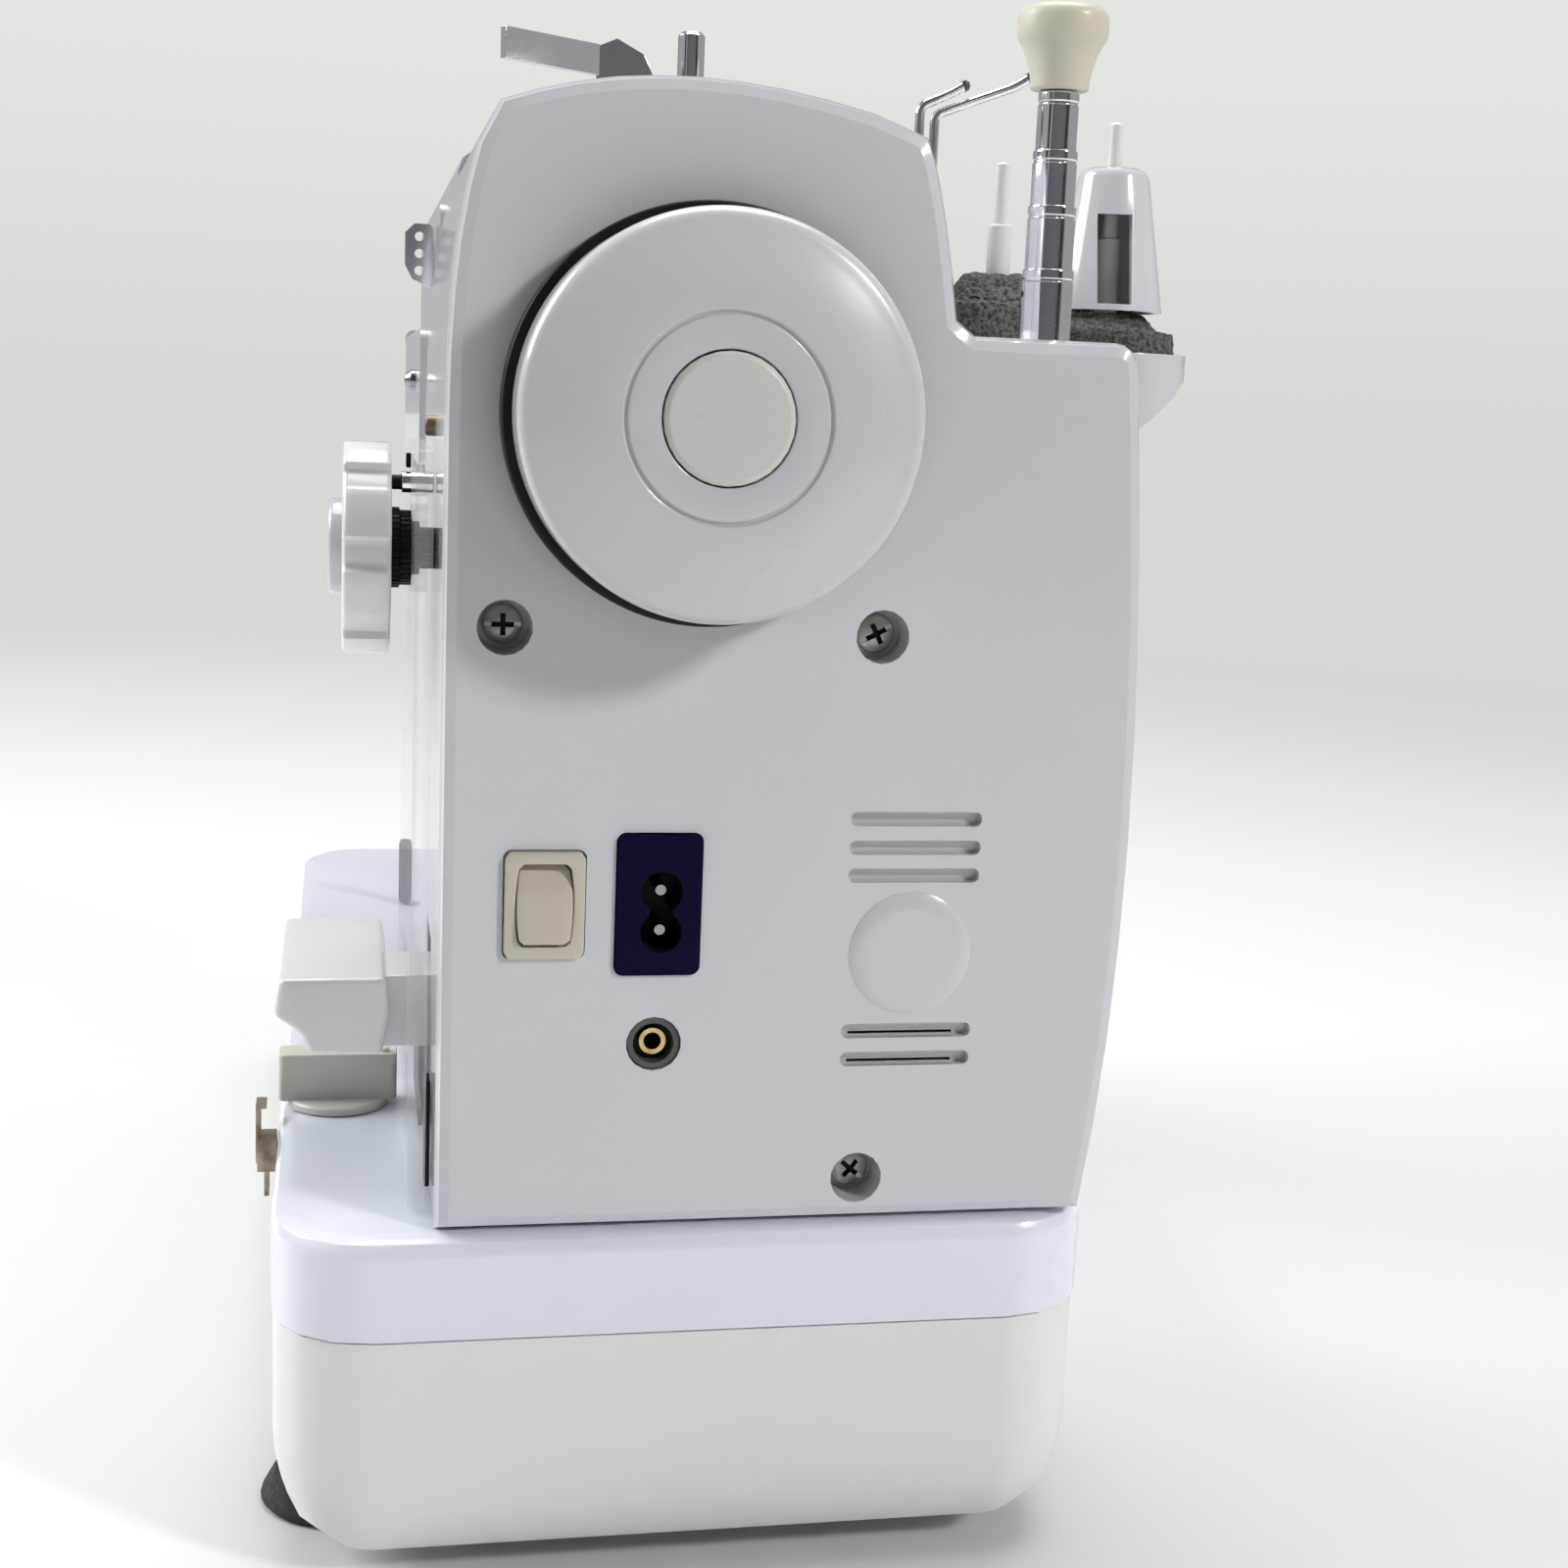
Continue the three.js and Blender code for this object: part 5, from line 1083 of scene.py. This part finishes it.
def make_rocker(centre, width, height, finishes):
    """The on-off rocker: pressed in at the top, with a crease a third of the way down."""
    low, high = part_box("rocker_button")
    outline = barrel_outline(centre, width - 0.1 * MM, height, ROCKER_BULGE * MM)
    crease = centre[1] + height * ROCKER_CREASE
    bm = bmesh.new()
    rows = len(outline) // 2
    right, left = outline[:rows], outline[rows:][::-1]
    front, back = [], []
    for (y1, z1), (y0, z0) in zip(right, left):
        above = max(0, z1 - crease)
        below = crease - min(z1, crease)
        x = high.x - 1.5 * MM + below * ROCKER_SLOPES[1] - above * ROCKER_SLOPES[0]
        ends = min(1, (height / 2 - abs(z1 - centre[1])) / (1.2 * MM))
        x -= 0.7 * MM * (1 - ends) ** 2
        across = [y0 + (y1 - y0) * k / ROCKER_COLUMNS for k in range(ROCKER_COLUMNS + 1)]
        front.append([bm.verts.new((x, y, z1)) for y in across])
        z = centre[1] + (z1 - centre[1]) * ROCKER_TAPER
        back.append([bm.verts.new((low.x, y, z)) for y in across])
    for a, b in zip(front, front[1:]):
        for k in range(ROCKER_COLUMNS):
            bm.faces.new((a[k], a[k + 1], b[k + 1], b[k]))
    for i in range(rows - 1):
        bm.faces.new((front[i][0], front[i + 1][0], back[i + 1][0], back[i][0]))
        bm.faces.new((front[i][-1], back[i][-1], back[i + 1][-1], front[i + 1][-1]))
    for row in (0, rows - 1):
        for k in range(ROCKER_COLUMNS):
            bm.faces.new((front[row][k], back[row][k], back[row][k + 1], front[row][k + 1]))
    rocker = mesh_object("rocker", bm)
    edge_bevel(rocker, 0.35)
    stand_in(rocker, "rocker_button", finishes["switch_beige"], 18)


def make_pole(finishes):
    """Three telescoping tubes, each ending in a raised bead, on a longer bottom tube."""
    for node in ("pole_base", "pole_lower", "pole_middle", "pole_upper"):
        low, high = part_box(node)
        radius = (high.x - low.x) / 2
        bead = 0.22 * MM
        side = [(0, low.z), (radius, low.z), (radius, high.z - 2.9 * MM)]
        side += [(radius - bead, high.z - 2.6 * MM), (radius - bead, high.z - 2.2 * MM)]
        side += [(radius, high.z - 1.9 * MM)]
        side += rounded((radius, high.z - 0.5 * MM), (radius, high.z), (radius - 0.5 * MM, high.z), 5)
        side += [(0, high.z)]
        tube = mesh_object(f"{node}_tube", turned("z", middle_of(node, "z"), side, 96))
        stand_in(tube, node, finishes["chrome"], 24)


def make_pole_cap(finishes):
    """A turned knob: a narrow waist that flares to a rounded, slightly domed head."""
    low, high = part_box("pole_cap")
    radius = (high.x - low.x) / 2
    waist = radius * 0.65

    def level(share):
        return low.z + (high.z - low.z) * share

    side = [(0, low.z)] + rounded((waist - 0.8 * MM, low.z), (waist, low.z), (waist, low.z + 0.8 * MM), 4)
    flare = (waist + 0.9 * MM, level(0.42))
    side += rounded((waist, low.z + 2 * MM), flare, (radius - 0.5 * MM, level(0.57)), 10)
    side += rounded((radius - 0.25 * MM, level(0.60)), (radius, level(0.64)), (radius, level(0.72)), 5)
    brow = (radius - 0.2 * MM, high.z - 0.7 * MM)
    side += rounded((radius, level(0.82)), brow, (radius - 3.4 * MM, high.z - 0.35 * MM), 8)
    side += [(radius * 0.4, high.z - 0.1 * MM), (0, high.z)]
    cap = mesh_object("cap_knob", turned("z", middle_of("pole_cap", "z"), side, 96))
    stand_in(cap, "pole_cap", finishes["cap_cream"], 40)


def make_small_parts(finishes):
    """Small pieces that have no CAD node."""
    slotted_screw("pane_screw", at(*PANE_SCREW), PANE_SCREW_RADIUS * MM, PANE_SCREW_RISE * MM, finishes)
    spacer = rounded_block("pane_spacer", at(*SPACER[0]), at(*SPACER[1]), 0.25 * MM)
    spacer.data.materials.append(finishes["black"])
    carve(spacer, box_mesh("stem_way", at(*STEM_WAY[0]), [side * MM for side in STEM_WAY[1]]))
    add_piece(spacer, "machine", finishes["black"])
    lever = rounded_block("bed_lever", at(*BED_LEVER[0]), at(*BED_LEVER[1]), 1.6 * MM)
    add_piece(lever, "machine", finishes["slate"])
    pin = rounded_block("stop_peg", at(*STOP_PEG[0]), at(*STOP_PEG[1]), 0.3 * MM)
    add_piece(pin, "machine", finishes["black"])
    profile = millimetres([(0, 0), (0.75, 0.1), (0.8, 0.6), (0, 0.6)])
    middle = (at(POLE_LATCH[0], 0, 0).x, POLE_LATCH[1] * MM)
    button = mesh_object("pole_latch", turned("y", middle, profile, 24))
    button.location.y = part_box("pole_base")[0].y - 0.1 * MM
    add_piece(button, "machine", finishes["black"])


def paint_faces(node, finish, test):
    """Gives the faces of a CAD node whose middle passes the test a second finish."""
    mesh = frame["nodes"][node].data
    mesh.materials.append(finish)
    index = len(mesh.materials) - 1
    for face in mesh.polygons:
        if test((face.center - origin) / MM, face.normal):
            face.material_index = index


def paint_details(finishes):
    """Second finishes on parts of CAD nodes. Each test gets a face's middle in mm and its normal."""
    paint_faces("power_inlet", finishes["black"], in_inlet_well)
    paint_faces("power_inlet", finishes["dark_chrome"], is_inlet_pin)
    paint_faces("pedal_jack", finishes["gunmetal"], lambda p, n: jack_radius(p) > JACK_SHELL)
    paint_faces("pedal_jack", finishes["brass"], is_jack_lining)
    paint_faces("arm_housing", finishes["dark_chrome"], is_arm_stud)
    paint_faces("dial_stop", finishes["black"], is_stop_tip)
    paint_faces("feed_knob", finishes["knob_disc"], lambda p, n: p.z < KNOB_DISC_TOP)


def jack_radius(p):
    return math.hypot(p.y - JACK[0], p.z - JACK[1])


def is_jack_lining(p, n):
    return JACK_LINING[0] < jack_radius(p) < JACK_LINING[1] and n.x > 0.5


def in_inlet_well(p, n):
    (low, high), half_width, face = INLET_WELL
    return p.x < face and abs(p.y - INLET_Y) < half_width and low < p.z < high


def is_inlet_pin(p, n):
    return p.x < -1 and min(math.hypot(p.y - INLET_Y, p.z - z) for z in INLET_PINS) < INLET_PIN_RADIUS


def is_arm_stud(p, n):
    return math.hypot(p.x - ARM_STUD[0], p.z - ARM_STUD[1]) < ARM_STUD_RADIUS and p.y < ARM_FRONT


def is_stop_tip(p, n):
    return math.hypot(p.x - STOP_TIP[0], p.z - STOP_TIP[1]) < STOP_TIP_RADIUS and p.y < STOP_TIP_Y


def build():
    finishes = make_materials()
    finish_frame(finishes)
    paint_details(finishes)
    make_handwheel(finishes)
    make_wheel_back(finishes)
    make_stitch_dial(finishes)
    make_dial_hub(finishes)
    make_wires(finishes)
    make_reverse_lever(finishes)
    make_side_screws(finishes)
    make_switch(finishes)
    make_pole(finishes)
    make_pole_cap(finishes)
    make_small_parts(finishes)
    make_foam("foam_mat_near", "foam_near", finishes, 1)
    make_foam("foam_mat_rear", "foam_rear", finishes, 2)


def find_origin():
    """The machine's own origin: the end cover's face, the needle's line and the table."""
    low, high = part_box("handwheel_back")
    return Vector((low.x - BACKING_FROM * MM, (low.y + high.y) / 2 - WHEEL_Y * MM, 0))


def at(x, y, z):
    """A point given in millimetres in the machine's own frame."""
    return origin + Vector((x, y, z)) * MM


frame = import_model()
origin = find_origin()
place_camera()
lay_floor()
light_the_studio()
set_the_stage()
build()
